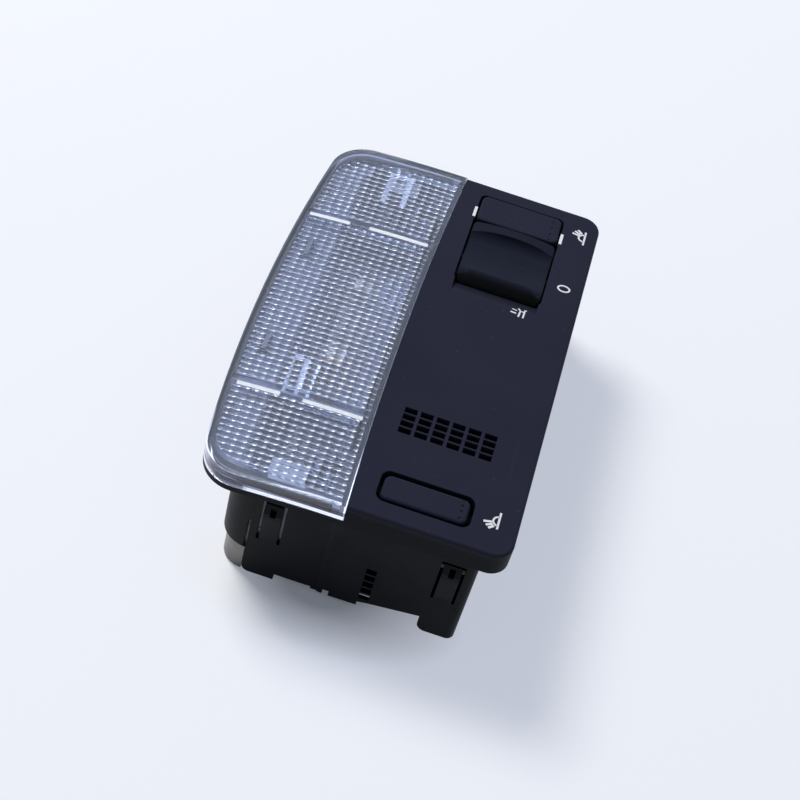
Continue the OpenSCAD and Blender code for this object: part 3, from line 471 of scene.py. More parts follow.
# The lens is one clear polycarbonate moulding, smooth outside. Inside it has three fields of small round-faced
# prisms in rows, with a plain border round them and two plain strips between. Its skirt stands on the bezel's
# flange, and two hooks on the left and two tongues hold it.
lens_left = -47.4 * mm
lens_end = 75 * mm
seam = 0.2 * mm
seam_bow = 2 * mm
side_arc = 588.34 * mm
end_arc = 256.2 * mm
seam_arc = 1407.25 * mm
face_arc = 437.0 * mm
lens_corner = 12.0 * mm
border = 2.4 * mm
end_border = 3.3 * mm
seam_border = 1.9 * mm
field_split = 39 * mm
strip_half = 1.5 * mm
row_pitch = 2.2 * mm
column_pitch = 2.75 * mm
row_depth = 0.5 * mm
column_depth = 0.42 * mm
prism_crown = 1.7 * mm
prism_root = 0.7 * mm
cell_steps = 6
columns = 18
grid_left = -49 * mm
far_past = 76 * mm
hook_left, hook_right, hook_bottom, hook_top = -40.4 * mm, -38.6 * mm, 30 * mm, 42.3 * mm
hook_y = 22 * mm
hook_half = 3.7 * mm
lens_ease = 0.5 * mm
skirt_low = 41 * mm
# Limits beyond the lens on every side, for the solids that shape it.
plan_low = 30 * mm
cut_low, cut_high = 20 * mm, 60 * mm
far_left, far_right, far_out = -60 * mm, 10 * mm, 80 * mm


def lens_face(x):
    """Height of the lens's outer face, which falls away from the seam."""
    return face_z - face_arc + math.sqrt(face_arc ** 2 - (x - seam) ** 2)


def combine(piece, other, operation, keep_other=False):
    """Adds, cuts or intersects one closed solid with another."""
    only(piece)
    step = piece.modifiers.new("combine", "BOOLEAN")
    step.operation = operation
    step.solver = "MANIFOLD"
    step.object = other
    bpy.ops.object.modifier_apply(modifier=step.name)
    if not keep_other:
        bpy.data.objects.remove(other)


def meeting(a, ra, b, rb):
    """The left one of the two points where two circles meet."""
    along = b - a
    reach = (ra ** 2 - rb ** 2 + along.length_squared) / (2 * along.length)
    foot = a + along.normalized() * reach
    side = Vector((-along.y, along.x)).normalized() * math.sqrt(ra ** 2 - reach ** 2)
    return min(foot + side, foot - side, key=lambda point: point.x)


def arc_between(centre, start, end, count):
    """Points on an arc from start to just before end, by the shorter way."""
    first, last = start - centre, end - centre
    turn = math.atan2(first.x * last.y - first.y * last.x, first.dot(last))
    return [centre + Matrix.Rotation(turn * k / count, 2) @ first for k in range(count)]


def lens_outline(inset, end_inset, seam_inset, z0, z1):
    """A solid with the lens's plan between two heights, drawn in from its left side, its ends and the seam."""
    side_centre, side_r = Vector((lens_left + side_arc, 0)), side_arc - inset
    end_centre, end_r = Vector((seam, lens_end - end_arc)), end_arc - end_inset
    seam_centre, seam_r = Vector((seam - seam_bow + seam_arc, 0)), seam_arc + seam_inset
    corner = lens_corner - inset
    turn = meeting(side_centre, side_r - corner, end_centre, end_r - corner)
    on_side = side_centre + (turn - side_centre) * side_r / (side_r - corner)
    on_end = end_centre + (turn - end_centre) * end_r / (end_r - corner)
    tip = meeting(end_centre, end_r, seam_centre, seam_r)
    half = arc_between(seam_centre, Vector((seam_centre.x - seam_r, 0)), tip, 30)
    half += arc_between(end_centre, tip, on_end, 30)
    half += arc_between(turn, on_end, on_side, 12)
    half += arc_between(side_centre, on_side, Vector((side_centre.x - side_r, 0)), 60)
    half.append(Vector((side_centre.x - side_r, 0)))
    points = half + [Vector((q.x, -q.y)) for q in reversed(half[1:-1])]
    bpy.ops.mesh.primitive_circle_add(vertices=len(points), fill_type="NGON", radius=1)
    plan = bpy.context.object
    for vertex, point in zip(plan.data.vertices, points):
        vertex.co = (point.x, point.y, z0)
    bpy.ops.object.mode_set(mode="EDIT")
    bpy.ops.mesh.select_all(action="SELECT")
    bpy.ops.mesh.extrude_region_move(TRANSFORM_OT_translate={"value": (0, 0, z1 - z0)})
    bpy.ops.mesh.select_all(action="SELECT")
    bpy.ops.mesh.normals_make_consistent(inside=False)
    bpy.ops.object.mode_set(mode="OBJECT")
    return plan


def slab(x0, x1, y0, y1, z0, z1):
    """A block between these limits, to cut with."""
    bpy.ops.mesh.primitive_cube_add(size=1, location=((x0 + x1) / 2, (y0 + y1) / 2, (z0 + z1) / 2))
    bpy.context.object.scale = (x1 - x0, y1 - y0, z1 - z0)
    bpy.ops.object.transform_apply(location=True, rotation=False, scale=True)
    return bpy.context.object


plan = lens_outline(border, end_border, seam_border, plan_low, cut_high)
lens = cad_copy("lens", "prism_lens")
ease_edges(lens, lambda middle, a, b: max(a.z, b.z) > 0.9 and middle.z > skirt_low, lens_ease, 4)

hook_blocks = [slab(hook_left, hook_right, y - hook_half, y + hook_half, hook_bottom, hook_top)
               for y in (-hook_y, hook_y)]
hooks = cad_copy("lens", "lens_hooks")
only(hook_blocks[0])
hook_blocks[1].select_set(True)
bpy.ops.object.join()
hook_block = bpy.context.object
combine(hooks, hook_block, "INTERSECT", keep_other=True)
combine(lens, hook_block, "DIFFERENCE")


def prism_field(y0, y1):
    """A block of prisms: a grid of round-faced cells in rows, closed by a flat top inside the skin."""
    rows = round((y1 - y0) / row_pitch)
    x0, x1 = grid_left, grid_left + columns * column_pitch
    bpy.ops.mesh.primitive_grid_add(
        x_subdivisions=columns * cell_steps, y_subdivisions=rows * cell_steps, size=1)
    block = bpy.context.object
    for vertex in block.data.vertices:
        across, along = vertex.co.x + 0.5, vertex.co.y + 0.5
        x = x0 + across * (x1 - x0)
        u = (across * columns) % 1 - 0.5 if 0 < across < 1 else 0.5
        v = (along * rows) % 1 - 0.5 if 0 < along < 1 else 0.5
        depth = row_depth * (1 - 4 * v * v) + column_depth * (1 - 4 * u * u)
        vertex.co = (x, y0 + along * (y1 - y0), lens_face(x) - prism_crown - depth)
    only(block)
    bpy.ops.object.mode_set(mode="EDIT")
    bpy.ops.mesh.select_mode(type="EDGE")
    bpy.ops.mesh.select_all(action="SELECT")
    bpy.ops.mesh.region_to_loop()
    bpy.ops.mesh.extrude_edges_move()
    shape = bmesh.from_edit_mesh(block.data)
    top_left, top_right = lens_face(x0) - prism_root, lens_face(x1) - prism_root
    for vertex in shape.verts:
        if vertex.select:
            vertex.co.z = top_left + (top_right - top_left) * (vertex.co.x - x0) / (x1 - x0)
    bmesh.update_edit_mesh(block.data)
    bpy.ops.mesh.edge_face_add()
    bpy.ops.mesh.select_all(action="SELECT")
    bpy.ops.mesh.normals_make_consistent(inside=False)
    bpy.ops.object.mode_set(mode="OBJECT")
    return block


for y0, y1 in ((-far_past, -field_split - strip_half),
               (-field_split + strip_half, field_split - strip_half),
               (field_split + strip_half, far_past)):
    block = prism_field(y0, y1)
    combine(block, plan, "INTERSECT", keep_other=True)
    combine(lens, block, "UNION")
bpy.data.objects.remove(plan)

lens_clear, lens_tree, lens_shader = material("lens_clear")
lens_shader.inputs["IOR"].default_value = 1.55
lens_shader.inputs["Transmission Weight"].default_value = 0.93
lens_cloud = lens_tree.nodes.new("ShaderNodeGroup")
lens_cloud.node_tree = grain_group
lens_tree.links.new(mapped(lens_tree, lens_cloud.outputs["Tone"], 0.08, 0.14), lens_shader.inputs["Roughness"])
lens_tint = mixed_colour(lens_tree, lens_cloud.outputs["Tone"], (0.63, 0.69, 0.85), (0.73, 0.78, 0.92))
lens_tree.links.new(lens_tint, lens_shader.inputs["Base Color"])

# Below the face the skirt is painted dark, as painted shade for the dark foam and bezel behind it, and clear
# again at its lower edge. The depth under the face is the height plus the face's fall at that x, for which x
# squared stands in.
lens_fall = lens_tree.nodes.new("ShaderNodeMath")
lens_fall.operation = "MULTIPLY"
for side in (0, 1):
    lens_tree.links.new(axis_of(lens_tree, "X"), lens_fall.inputs[side])
lens_drop = lens_tree.nodes.new("ShaderNodeMath")
lens_drop.operation = "MULTIPLY_ADD"
lens_drop.inputs[1].default_value = 1 / (2 * face_arc)
lens_tree.links.new(lens_fall.outputs["Value"], lens_drop.inputs[0])
lens_tree.links.new(axis_of(lens_tree, "Z"), lens_drop.inputs[2])
skirt_painted_shade = mapped(lens_tree, lens_drop.outputs["Value"], 1.0, 0.0, face_z - 3.0 * mm, face_z - 2.8 * mm)
in_rim = mapped(lens_tree, lens_drop.outputs["Value"], 1.0, 0.0, face_z - 4.75 * mm, face_z - 4.65 * mm)
painted_over(lens_tree, lens_shader, skirt_painted_shade, (0.04, 0.04, 0.065))
painted_over(lens_tree, lens_shader, in_rim, (0.8, 0.85, 0.95))

# Rays that test for shadow pass the lens straight, so that the chamber behind it is lit.
lens_paths = lens_tree.nodes.new("ShaderNodeLightPath")
lens_open = lens_tree.nodes.new("ShaderNodeBsdfTransparent")
lens_open.inputs["Color"].default_value = (0.8, 0.85, 0.95, 1)
lens_mix = lens_tree.nodes.new("ShaderNodeMixShader")
lens_tree.links.new(lens_paths.outputs["Is Shadow Ray"], lens_mix.inputs["Fac"])
lens_tree.links.new(lens_shader.outputs["BSDF"], lens_mix.inputs[1])
lens_tree.links.new(lens_open.outputs["BSDF"], lens_mix.inputs[2])
lens_tree.links.new(lens_mix.outputs["Shader"], lens_tree.nodes["Material Output"].inputs["Surface"])
place(lens, lens_clear, "lamp", "clear_lens", "lens")

# Painted shade: the hooks are tinted a darker grey-blue than the lens and made only partly clear, so that they
# sit dark inside it.
hook_painted_shade, _, hook_shader = grained(
    "lens_hook_painted_shade", (0.26, 0.29, 0.36), (0.32, 0.35, 0.43), (0.25, 0.35),
    grain_scale=2500, cloud_scale=300, depth=0.01 * mm)
hook_shader.inputs["IOR"].default_value = 1.5
hook_shader.inputs["Transmission Weight"].default_value = 0.6
smooth(hooks)
place(hooks, hook_painted_shade, "lamp", "clear_lens")

# The lower edge of the skirt is cut square and polished, in the lens's own clear plastic. It pipes light round
# the lens; here it is drawn as a thin opaque line, with painted shade along the sides and a painted highlight
# and glow at the near end.
ring_low, ring_high = 30 * mm, 50 * mm
past = 1 * mm


def face_bar(x0, x1, y0, y1, under, thick):
    """A bar that follows the fall of the lens's face, its top this far under it."""
    bpy.ops.mesh.primitive_grid_add(x_subdivisions=14, y_subdivisions=2, size=1)
    bar = bpy.context.object
    for vertex in bar.data.vertices:
        x = x0 + (vertex.co.x + 0.5) * (x1 - x0)
        vertex.co = (x, y0 + (vertex.co.y + 0.5) * (y1 - y0), lens_face(x) - under)
    bpy.ops.object.mode_set(mode="EDIT")
    bpy.ops.mesh.select_all(action="SELECT")
    bpy.ops.mesh.extrude_region_move(TRANSFORM_OT_translate={"value": (0, 0, -thick)})
    bpy.ops.mesh.select_all(action="SELECT")
    bpy.ops.mesh.normals_make_consistent(inside=False)
    bpy.ops.object.mode_set(mode="OBJECT")
    return bar


def lens_ring(name, outer, inner, under, thick):
    """A band between two of the lens's outlines, each given by its three insets, that follows its face."""
    ring = lens_outline(*outer, ring_low, ring_high)
    combine(ring, lens_outline(*inner, ring_low - past, ring_high + past), "DIFFERENCE")
    combine(ring, face_bar(far_left, far_right, -far_out, far_out, under, thick), "INTERSECT")
    ring.name = ring.data.name = name
    return ring


rim = lens_ring("lens_rim", (0.03 * mm, 0.03 * mm, 0.2 * mm), (0.4 * mm, 0.45 * mm, 0.5 * mm),
                under=4.75 * mm, thick=1.33 * mm)
smooth(rim)
rim_finish, rim_tree, rim_shader = grained(
    "lens_rim_edge", (0.06, 0.07, 0.1), (0.1, 0.115, 0.15), (0.4, 0.6),
    grain_scale=2500, cloud_scale=700, depth=0.03 * mm)
# Painted light: towards the near end the rim is painted white and given a glow; along the sides it stays dark
# as painted shade.
painted_glow_end = fade(rim_tree, "Y", -50.0, -64.0)
painted_over(rim_tree, rim_shader, painted_glow_end, (0.92, 0.94, 0.98))
rim_tree.links.new(mixed_colour(rim_tree, painted_glow_end, (0.0, 0.0, 0.0), (0.5, 0.5, 0.56)),
                   rim_shader.inputs["Emission Color"])
rim_shader.inputs["Emission Strength"].default_value = 1.0
place(rim, rim_finish, "lamp", "clear_lens")

# A thin strip of black foam is glued to the inside of the skirt, along its left side and round its ends. It
# closes the chamber to dust, and is cut off short of the seam, where the lens lies on the flange.
foam_end_x = -4 * mm
foam_black, _, _ = grained(
    "foam_black", (0.006, 0.006, 0.008), (0.012, 0.012, 0.014), (0.8, 0.95),
    grain_scale=1800, cloud_scale=200, depth=0.08 * mm, specular=0.1)
foam = lens_ring("lens_foam_strip", (1.56 * mm, 1.56 * mm, 3.0 * mm), (1.76 * mm, 1.76 * mm, 3.2 * mm),
                 under=2.0 * mm, thick=4.0 * mm)
combine(foam, slab(far_left, foam_end_x, -far_out, far_out, cut_low, cut_high), "INTERSECT")
smooth(foam)
place(foam, foam_black, "lamp", "seal_rubber")

# Four white bars are set in the lens's face, beside the two plain strips and in line across each, with a gap
# between. Their white is a painted highlight, standing in for the light caught along a rib beside each strip.
rib_highlight_white, _, _ = grained(
    "lens_rib_highlight_white", (0.76, 0.79, 0.86), (0.93, 0.94, 0.98), (0.4, 0.6),
    grain_scale=2500, cloud_scale=700, depth=0.03 * mm)
bar_half = 0.75
bar_play = 0.02
bar_spans = [(-43.6, -30.3, 36.7), (-23.9, -4.4, 36.9), (-42.4, -29.4, -42.0), (-22.6, -4.4, -42.2)]
bars = []
for x0, x1, y in bar_spans:
    pocket = face_bar(x0 * mm, x1 * mm, (y - bar_half) * mm, (y + bar_half) * mm,
                      under=-0.3 * mm, thick=0.75 * mm)
    combine(lens, pocket, "DIFFERENCE")
    bars.append(face_bar((x0 + bar_play) * mm, (x1 - bar_play) * mm, (y - bar_half + bar_play) * mm,
                         (y + bar_half - bar_play) * mm, under=0.03 * mm, thick=0.4 * mm))
only(bars[0])
for bar in bars:
    bar.select_set(True)
bpy.ops.object.join()
bars = bpy.context.object
bars.name = bars.data.name = "lens_bars"
place(bars, rib_highlight_white, "lamp", "clear_lens")
smooth(lens)

# The heat shield is pressed from thin aluminised steel, and closes the lamp chamber behind. The press has
# rounded its bottom edge and drawn fine lines into its skin, which has dulled and darkened in places.
drawn_group, drawn_in, drawn_out = node_group(
    "drawn_lines",
    [("Lines per metre", FLOAT, 3000.0), ("Stains per metre", FLOAT, 60.0)],
    [("Height", FLOAT), ("Tone", FLOAT), ("Stain", FLOAT)])
nodes, links = drawn_group.nodes, drawn_group.links
coords = nodes.new("ShaderNodeTexCoord")
stretched = nodes.new("ShaderNodeMapping")
stretched.inputs["Scale"].default_value = (1.0, 0.05, 1.0)
lines = nodes.new("ShaderNodeTexNoise")
lines.inputs["Detail"].default_value = 2.0
stains = nodes.new("ShaderNodeTexNoise")
stains.inputs["Detail"].default_value = 5.0
stains.inputs["Roughness"].default_value = 0.62
stain_edge = nodes.new("ShaderNodeMapRange")
stain_edge.inputs["From Min"].default_value = 0.48
stain_edge.inputs["From Max"].default_value = 0.7
links.new(coords.outputs["Object"], stretched.inputs["Vector"])
links.new(stretched.outputs["Vector"], lines.inputs["Vector"])
links.new(drawn_in.outputs["Lines per metre"], lines.inputs["Scale"])
links.new(coords.outputs["Object"], stains.inputs["Vector"])
links.new(drawn_in.outputs["Stains per metre"], stains.inputs["Scale"])
links.new(lines.outputs["Fac"], drawn_out.inputs["Height"])
links.new(lines.outputs["Fac"], drawn_out.inputs["Tone"])
links.new(stains.outputs["Fac"], stain_edge.inputs["Value"])
links.new(stain_edge.outputs["Result"], drawn_out.inputs["Stain"])


def drawn(name, low, high, stain, gloss, line_scale, stain_scale, depth, metal):
    """Sheet or wire: two tones along its drawn lines, and a third where it is stained."""
    made, tree, shader = material(name)
    group = tree.nodes.new("ShaderNodeGroup")
    group.node_tree = drawn_group
    group.inputs["Lines per metre"].default_value = line_scale
    group.inputs["Stains per metre"].default_value = stain_scale
    tree.links.new(mixed_colour(tree, mapped(tree, group.outputs["Tone"], 0.0, 1.0), low, high),
                   shader.inputs["Base Color"])
    painted_over(tree, shader, group.outputs["Stain"], stain)
    tree.links.new(mapped(tree, group.outputs["Stain"], *gloss, 0.0, 1.0), shader.inputs["Roughness"])
    bump = tree.nodes.new("ShaderNodeBump")
    bump.inputs["Distance"].default_value = depth
    tree.links.new(group.outputs["Height"], bump.inputs["Height"])
    tree.links.new(bump.outputs["Normal"], shader.inputs["Normal"])
    shader.inputs["Metallic"].default_value = metal
    return made, tree, shader


shield_metal, shield_tree, shield_shader = drawn(
    "shield_metal", (0.17, 0.164, 0.158), (0.22, 0.214, 0.207), (0.13, 0.122, 0.114), (0.3, 0.42),
    line_scale=2600, stain_scale=40, depth=0.004 * mm, metal=0.8)
# Painted shade: the shield darkens towards its bottom edge, by the table.
shield_foot_shade = mapped(shield_tree, axis_of(shield_tree, "Z"), 0.6, 0.0, 1.0 * mm, 7 * mm)
painted_over(shield_tree, shield_shader, shield_foot_shade, (0.05, 0.047, 0.048))
pressed_round = 1.6 * mm


def bottom_edge(middle, a, b):
    """Picks the edges where the shield's flat bottom turns up into a wall."""
    return middle.z < 0.5 * mm and min(a.z, b.z) < -0.9 and max(a.z, b.z) < 0.3


shield = cad_copy("heat_shield", "pressed_heat_shield")
ease_edges(shield, bottom_edge, pressed_round, 5)
smooth(shield, 40)
place(shield, shield_metal, "lamp", "shield_metal", "heat_shield")

# The reflector is a moulded plastic tray with three bays, metallised and a little dull, and set in the housing
# under the lens. The shelf round the bays and the left side are painted darker, as painted shade, darkest along
# the far left edge, and the two ends are bare.
reflector_silver, reflector_tree, reflector_shader = drawn(
    "reflector_silver", (0.19, 0.21, 0.27), (0.24, 0.265, 0.34), (0.14, 0.155, 0.2), (0.4, 0.55),
    line_scale=300, stain_scale=40, depth=0.005 * mm, metal=0.25)
# Painted shade on the shelf, the left side and its far left edge; the ends take a plain grey.
for axis, none_at, full_at, tint in (
        ("Z", 38.5, 40.5, (0.035, 0.04, 0.055)),
        ("X", -32.3, -32.6, (0.08, 0.09, 0.12)),
        ("X", -44.4, -44.6, (0.01, 0.01, 0.012)),
        ("Y", -70.3, -70.5, (0.2, 0.215, 0.27)),
        ("Y", 70.3, 70.5, (0.2, 0.215, 0.27))):
    painted_over(reflector_tree, reflector_shader, fade(reflector_tree, axis, none_at, full_at), tint)
dress("reflector", reflector_silver)

# The dome lamp is a tubular bulb: a clear glass tube with a dull nickel cap crimped on each end, and a coiled
# tungsten wire. The two reading lamps are capless bulbs, pressed from glass in one piece. All the glass is
# faintly smoked.
bulb_glass, glass_tree, glass_shader = material("bulb_glass")
glass_cloud = glass_tree.nodes.new("ShaderNodeGroup")
glass_cloud.node_tree = grain_group
glass_cloud.inputs["Cloud per metre"].default_value = 120
smoke = mapped(glass_tree, glass_cloud.outputs["Tone"], 0.0, 1.0)
glass_tree.links.new(mixed_colour(glass_tree, smoke, (0.9, 0.86, 0.82), (1.0, 0.97, 0.94)),
                     glass_shader.inputs["Base Color"])
glass_tree.links.new(mapped(glass_tree, glass_cloud.outputs["Tone"], 0.06, 0.02),
                     glass_shader.inputs["Roughness"])
glass_shader.inputs["IOR"].default_value = 1.45
glass_shader.inputs["Transmission Weight"].default_value = 1.0
for name in ("festoon_glass", "reading_bulb_far", "reading_bulb_near"):
    dress(name, bulb_glass)
cap_nickel, _, _ = drawn(
    "cap_nickel", (0.46, 0.41, 0.37), (0.6, 0.55, 0.51), (0.3, 0.26, 0.22), (0.32, 0.5),
    line_scale=2500, stain_scale=220, depth=0.004 * mm, metal=0.8)
dress("festoon_caps", cap_nickel)
tungsten, _, _ = drawn(
    "tungsten_wire", (0.3, 0.29, 0.28), (0.42, 0.41, 0.4), (0.16, 0.15, 0.15), (0.35, 0.5),
    line_scale=6000, stain_scale=800, depth=0.002 * mm, metal=1.0)
dress("festoon_filament", tungsten)

# The reading bulbs are pressed into moulded holders of heat-proof grey plastic. One stands against each end
# wall of the reflector, and both have gathered some dust.
holder_grey, holder_tree, holder_shader = grained(
    "holder_grey", (0.26, 0.27, 0.3), (0.32, 0.33, 0.36), (0.45, 0.6),
    grain_scale=1200, cloud_scale=120, depth=0.01 * mm)
marked(holder_tree, holder_shader, 900, 0.4, 300, (0.2, 0.2, 0.2), (0.4, 0.39, 0.37))
for name in ("bulb_holder_far", "bulb_holder_near"):
    dress(name, holder_grey)

# Stamped brass strip carries the current: sprung clips hold the tubular bulb, rails run to the reading lamps,
# a leaf with a bent end gives the rocker its clicks, and the connector's pins stand in their socket.
contact_brass, _, _ = drawn(
    "contact_brass", (0.6, 0.42, 0.2), (0.72, 0.54, 0.29), (0.34, 0.2, 0.09), (0.26, 0.48),
    line_scale=2600, stain_scale=180, depth=0.004 * mm, metal=1.0)
for name in ("festoon_clips", "lamp_rails", "detent_leaf", "connector_pins"):
    dress(name, contact_brass)

# Two brackets of bright nickel-plated strip stand above the bulbs, one over the far reading lamp and one beside
# the dome lamp. They are stamped with slots and bent down at their feet, and show as bright bars through the
# prisms.
bright_nickel, _, _ = drawn(
    "bright_nickel", (0.7, 0.72, 0.78), (0.84, 0.86, 0.91), (0.5, 0.5, 0.54), (0.28, 0.42),
    line_scale=3000, stain_scale=200, depth=0.004 * mm, metal=0.5)
bracket_z = 41.3 * mm
sheet = 0.4 * mm
sheet_ease = 0.12 * mm
foot_z = 39.45 * mm
lip_z = 35.0 * mm


def strip(x0, y0, x1, y1, width, bottom=bracket_z, top=bracket_z + sheet):
    """A straight flat strip of sheet between two points of the plan, in millimetres."""
    start, end = Vector((x0, y0)) * mm, Vector((x1, y1)) * mm
    side = (end - start).normalized() * width * mm / 2
    side = Vector((-side.y, side.x))
    piece = slab(-0.5, 0.5, -0.5, 0.5, -0.5, 0.5)
    for vertex in piece.data.vertices:
        middle = start if vertex.co.x < 0 else end
        at = middle + side * (1 if vertex.co.y > 0 else -1)
        vertex.co = (at.x, at.y, bottom if vertex.co.z < 0 else top)
    return piece


def bracket(name, strips):
    """One pressed bracket from its strips."""
    first = strips[0]
    for other in strips[1:]:
        combine(first, other, "UNION")
    ease = first.modifiers.new("ease", "BEVEL")
    ease.width = sheet_ease
    ease.segments = 2
    only(first)
    bpy.ops.object.modifier_apply(modifier=ease.name)
    first.name = first.data.name = name
    smooth(first)
    place(first, bright_nickel, "lamp", "bulb_cap")


bracket("reading_lamp_bracket_far", [
    strip(-24.9, 68.2, -15.3, 68.2, 1.5),
    strip(-23.6, 68, -23.3, 52.8, 1.1), strip(-17.4, 68, -17.1, 53.3, 1.1),
    strip(-22.0, 68, -22.0, 71.9, 1.6), strip(-18.5, 68, -18.5, 71.9, 1.6),
    strip(-22.0, 71.4, -22.0, 71.9, 1.6, foot_z), strip(-18.5, 71.4, -18.5, 71.9, 1.6, foot_z)])
bracket("dome_lamp_bracket_near", [
    strip(-30.3, -24.4, -21.3, -25.4, 1.3),
    strip(-29.7, -24.4, -29.1, -39, 1.0), strip(-25.9, -24.4, -25.4, -39, 1.0),
    strip(-22.2, -25, -22.0, -39, 0.9), strip(-29.6, -39, -21.6, -39, 0.7, lip_z)])

# The rocker turns on a ground and blackened steel pin, pressed into two cheeks under the panel. The microphone
# behind the grille is a small drawn can of the same dark finish.
blackened_steel, _, _ = drawn(
    "blackened_steel", (0.02, 0.02, 0.022), (0.035, 0.035, 0.04), (0.05, 0.045, 0.04), (0.4, 0.5),
    line_scale=2500, stain_scale=300, depth=0.003 * mm, metal=1.0)
for name in ("rocker_pin", "microphone"):
    dress(name, blackened_steel)

# A coil spring of bright steel wire is wound round each button's stem, between the switch and the cap. Steel
# screws of the same finish hold the board.
bright_steel, _, _ = drawn(
    "bright_steel", (0.5, 0.5, 0.52), (0.64, 0.64, 0.66), (0.38, 0.37, 0.36), (0.2, 0.38),
    line_scale=3500, stain_scale=300, depth=0.003 * mm, metal=1.0)
dress("board_screws", bright_steel)
for side in ("far", "near"):
    node = "button_spring_" + side
    spring = cad_copy(node, "reading_button_spring_" + side)
    smooth(spring, 60)
    place(spring, bright_steel, "lamp", "spring_steel", node)
    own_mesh(spring)

# The push switches under the buttons are moulded in dark grey plastic and soldered to the board. A soft
# rubber ring of the same grey stands round the microphone and seals it behind the grille.
switch_grey, switch_tree, switch_shader = grained(
    "switch_grey", (0.03, 0.032, 0.036), (0.05, 0.052, 0.056), (0.4, 0.55),
    grain_scale=1500, cloud_scale=200, depth=0.01 * mm)
marked(switch_tree, switch_shader, 900, 0.4, 300, (0.08, 0.08, 0.085), (0.12, 0.12, 0.12))
for name in ("push_switch_far", "push_switch_near", "microphone_seal"):
    dress(name, switch_grey)

# The circuit board is glass-fibre sheet under green lacquer, in which the copper tracks show as lighter lines.
# Four screws hold it to the bezel.
board_green, board_tree, board_shader = grained(
    "board_green", (0.012, 0.1, 0.04), (0.02, 0.13, 0.05), (0.25, 0.4),
    grain_scale=800, cloud_scale=300, depth=0.01 * mm)
tracks = board_tree.nodes.new("ShaderNodeTexBrick")
tracks.inputs["Scale"].default_value = 160.0
tracks.inputs["Mortar Size"].default_value = 0.03
tracks.inputs["Color1"].default_value = (0, 0, 0, 1)
tracks.inputs["Color2"].default_value = (0, 0, 0, 1)
tracks.inputs["Mortar"].default_value = (1, 1, 1, 1)
board_place = board_tree.nodes.new("ShaderNodeTexCoord")
board_tree.links.new(board_place.outputs["Object"], tracks.inputs["Vector"])
painted_over(board_tree, board_shader, tracks.outputs["Color"], (0.045, 0.26, 0.09))
dress("circuit_board", board_green)

# The connector's shell is moulded in natural nylon, pale and slightly waxy. It is set in the back of the
# housing, and takes the plug of the car's harness.
natural_nylon, nylon_tree, nylon_shader = grained(
    "natural_nylon", (0.66, 0.63, 0.55), (0.75, 0.72, 0.65), (0.42, 0.58),
    grain_scale=1200, cloud_scale=120, depth=0.01 * mm)
marked(nylon_tree, nylon_shader, 700, 0.5, 260, (0.5, 0.48, 0.42), (0.45, 0.42, 0.36))
dress("connector_shell", natural_nylon)

# The lamp lies on a plain pale table. The table glows a little by itself where it is seen, so that it stays
# pale, and least of all in a soft patch at the lamp's near end, which is a painted shadow that deepens the
# shadow there.
bpy.ops.mesh.primitive_plane_add(size=40, location=(0, 0, 0))
floor = bpy.context.object
floor.name = "floor"
floor_pale, floor_tree, floor_shader = material("floor_pale")
floor_shader.inputs["Base Color"].default_value = (0.95, 0.93, 0.87, 1)
floor_shader.inputs["Roughness"].default_value = 0.9
floor_shader.inputs["Specular IOR Level"].default_value = 0.1
floor_glow = floor_tree.nodes.new("ShaderNodeEmission")
floor_glow.inputs["Color"].default_value = (0.82, 0.865, 1.0, 1)
floor_glow.inputs["Strength"].default_value = 1.06


def seen_directly(tree, sent_on):
    """One for rays from the camera, this share for those that metal or glass sends on, else nought."""
    path = tree.nodes.new("ShaderNodeLightPath")
    seen = path.outputs["Is Camera Ray"]
    for ray in ("Is Glossy Ray", "Is Transmission Ray"):
        part = tree.nodes.new("ShaderNodeMath")
        part.operation = "MULTIPLY"
        part.inputs[1].default_value = sent_on
        either = tree.nodes.new("ShaderNodeMath")
        either.operation = "MAXIMUM"
        tree.links.new(path.outputs[ray], part.inputs[0])
        tree.links.new(seen, either.inputs[0])
        tree.links.new(part.outputs["Value"], either.inputs[1])
        seen = either.outputs["Value"]
    return seen
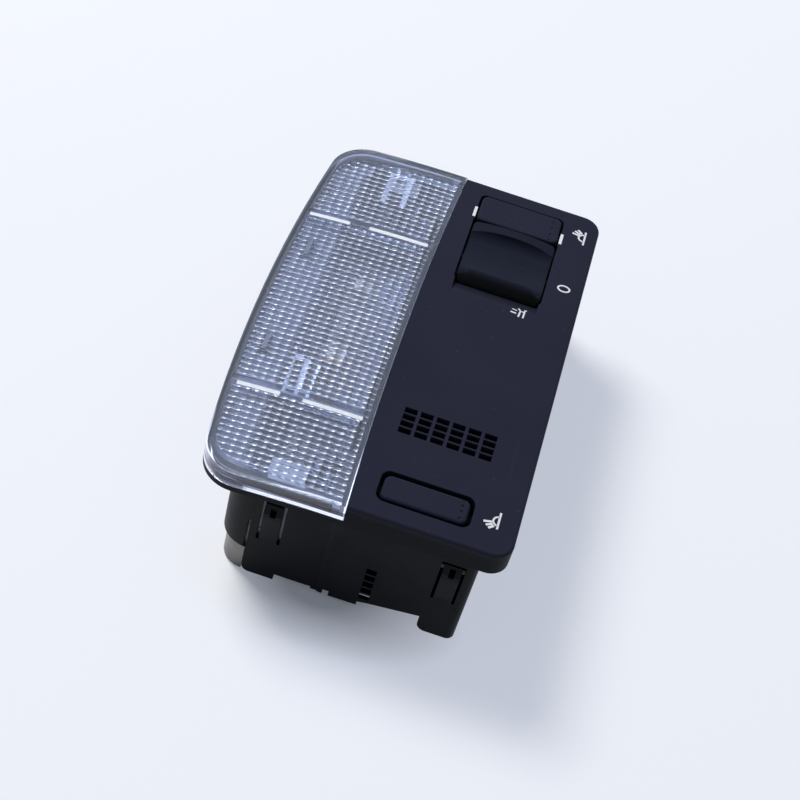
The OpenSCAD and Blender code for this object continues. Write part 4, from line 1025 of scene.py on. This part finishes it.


# A painted shadow: a soft patch of less glow round the lamp's near end.
patch_x, patch_y = -2 * mm, -72 * mm
reach_x, reach_y = 46 * mm, 22 * mm
around = floor_tree.nodes.new("ShaderNodeMapping")
around.inputs["Location"].default_value = (-patch_x / reach_x, -patch_y / reach_y, 0)
around.inputs["Scale"].default_value = (1 / reach_x, 1 / reach_y, 1)
painted_shadow_patch = floor_tree.nodes.new("ShaderNodeTexGradient")
painted_shadow_patch.gradient_type = "SPHERICAL"
floor_place = floor_tree.nodes.new("ShaderNodeTexCoord")
floor_tree.links.new(floor_place.outputs["Object"], around.inputs["Vector"])
floor_tree.links.new(around.outputs["Vector"], painted_shadow_patch.inputs["Vector"])
glow_share = mapped(floor_tree, painted_shadow_patch.outputs["Fac"], 0.56, 0.1, 0.0, 0.8)
share = floor_tree.nodes.new("ShaderNodeMath")
share.operation = "MULTIPLY"
floor_tree.links.new(seen_directly(floor_tree, 1.0), share.inputs[0])
floor_tree.links.new(glow_share, share.inputs[1])
floor_mix = floor_tree.nodes.new("ShaderNodeMixShader")
floor_tree.links.new(share.outputs["Value"], floor_mix.inputs["Fac"])
floor_tree.links.new(floor_shader.outputs["BSDF"], floor_mix.inputs[1])
floor_tree.links.new(floor_glow.outputs["Emission"], floor_mix.inputs[2])
floor_tree.links.new(floor_mix.outputs["Shader"], floor_tree.nodes["Material Output"].inputs["Surface"])
floor.data.materials.append(floor_pale)

# One large soft lamp stands far up on the left of the table and points at the object. It isn't mirrored in the
# lens, which it would wash out from some sides. The world is a dim blue sky for the light, and a pale room
# where it is seen.
key_data = bpy.data.lights.new("key", "AREA")
key_data.shape = "SQUARE"
key_data.size = 0.9
key_data.energy = 72
key = bpy.data.objects.new("key", key_data)
key.visible_glossy = False
key.location = (-1.35, 1.05, 2.05)
key.rotation_euler = (-key.location).to_track_quat("-Z", "Y").to_euler()
scene.collection.objects.link(key)
world = bpy.data.worlds.new("studio")
scene.world = world
world.use_nodes = True
world_tree = world.node_tree
sky = world_tree.nodes["Background"]
sky.inputs["Color"].default_value = (0.62, 0.76, 1.0, 1)
sky.inputs["Strength"].default_value = 0.2
pale_room = world_tree.nodes.new("ShaderNodeBackground")
pale_room.inputs["Color"].default_value = (0.86, 0.9, 1.0, 1)
pale_room.inputs["Strength"].default_value = 0.9
world_mix = world_tree.nodes.new("ShaderNodeMixShader")
world_tree.links.new(seen_directly(world_tree, 0.5), world_mix.inputs["Fac"])
world_tree.links.new(sky.outputs["Background"], world_mix.inputs[1])
world_tree.links.new(pale_room.outputs["Background"], world_mix.inputs[2])
world_tree.links.new(world_mix.outputs["Shader"], world_tree.nodes["World Output"].inputs["Surface"])
scene.view_settings.view_transform = "Standard"
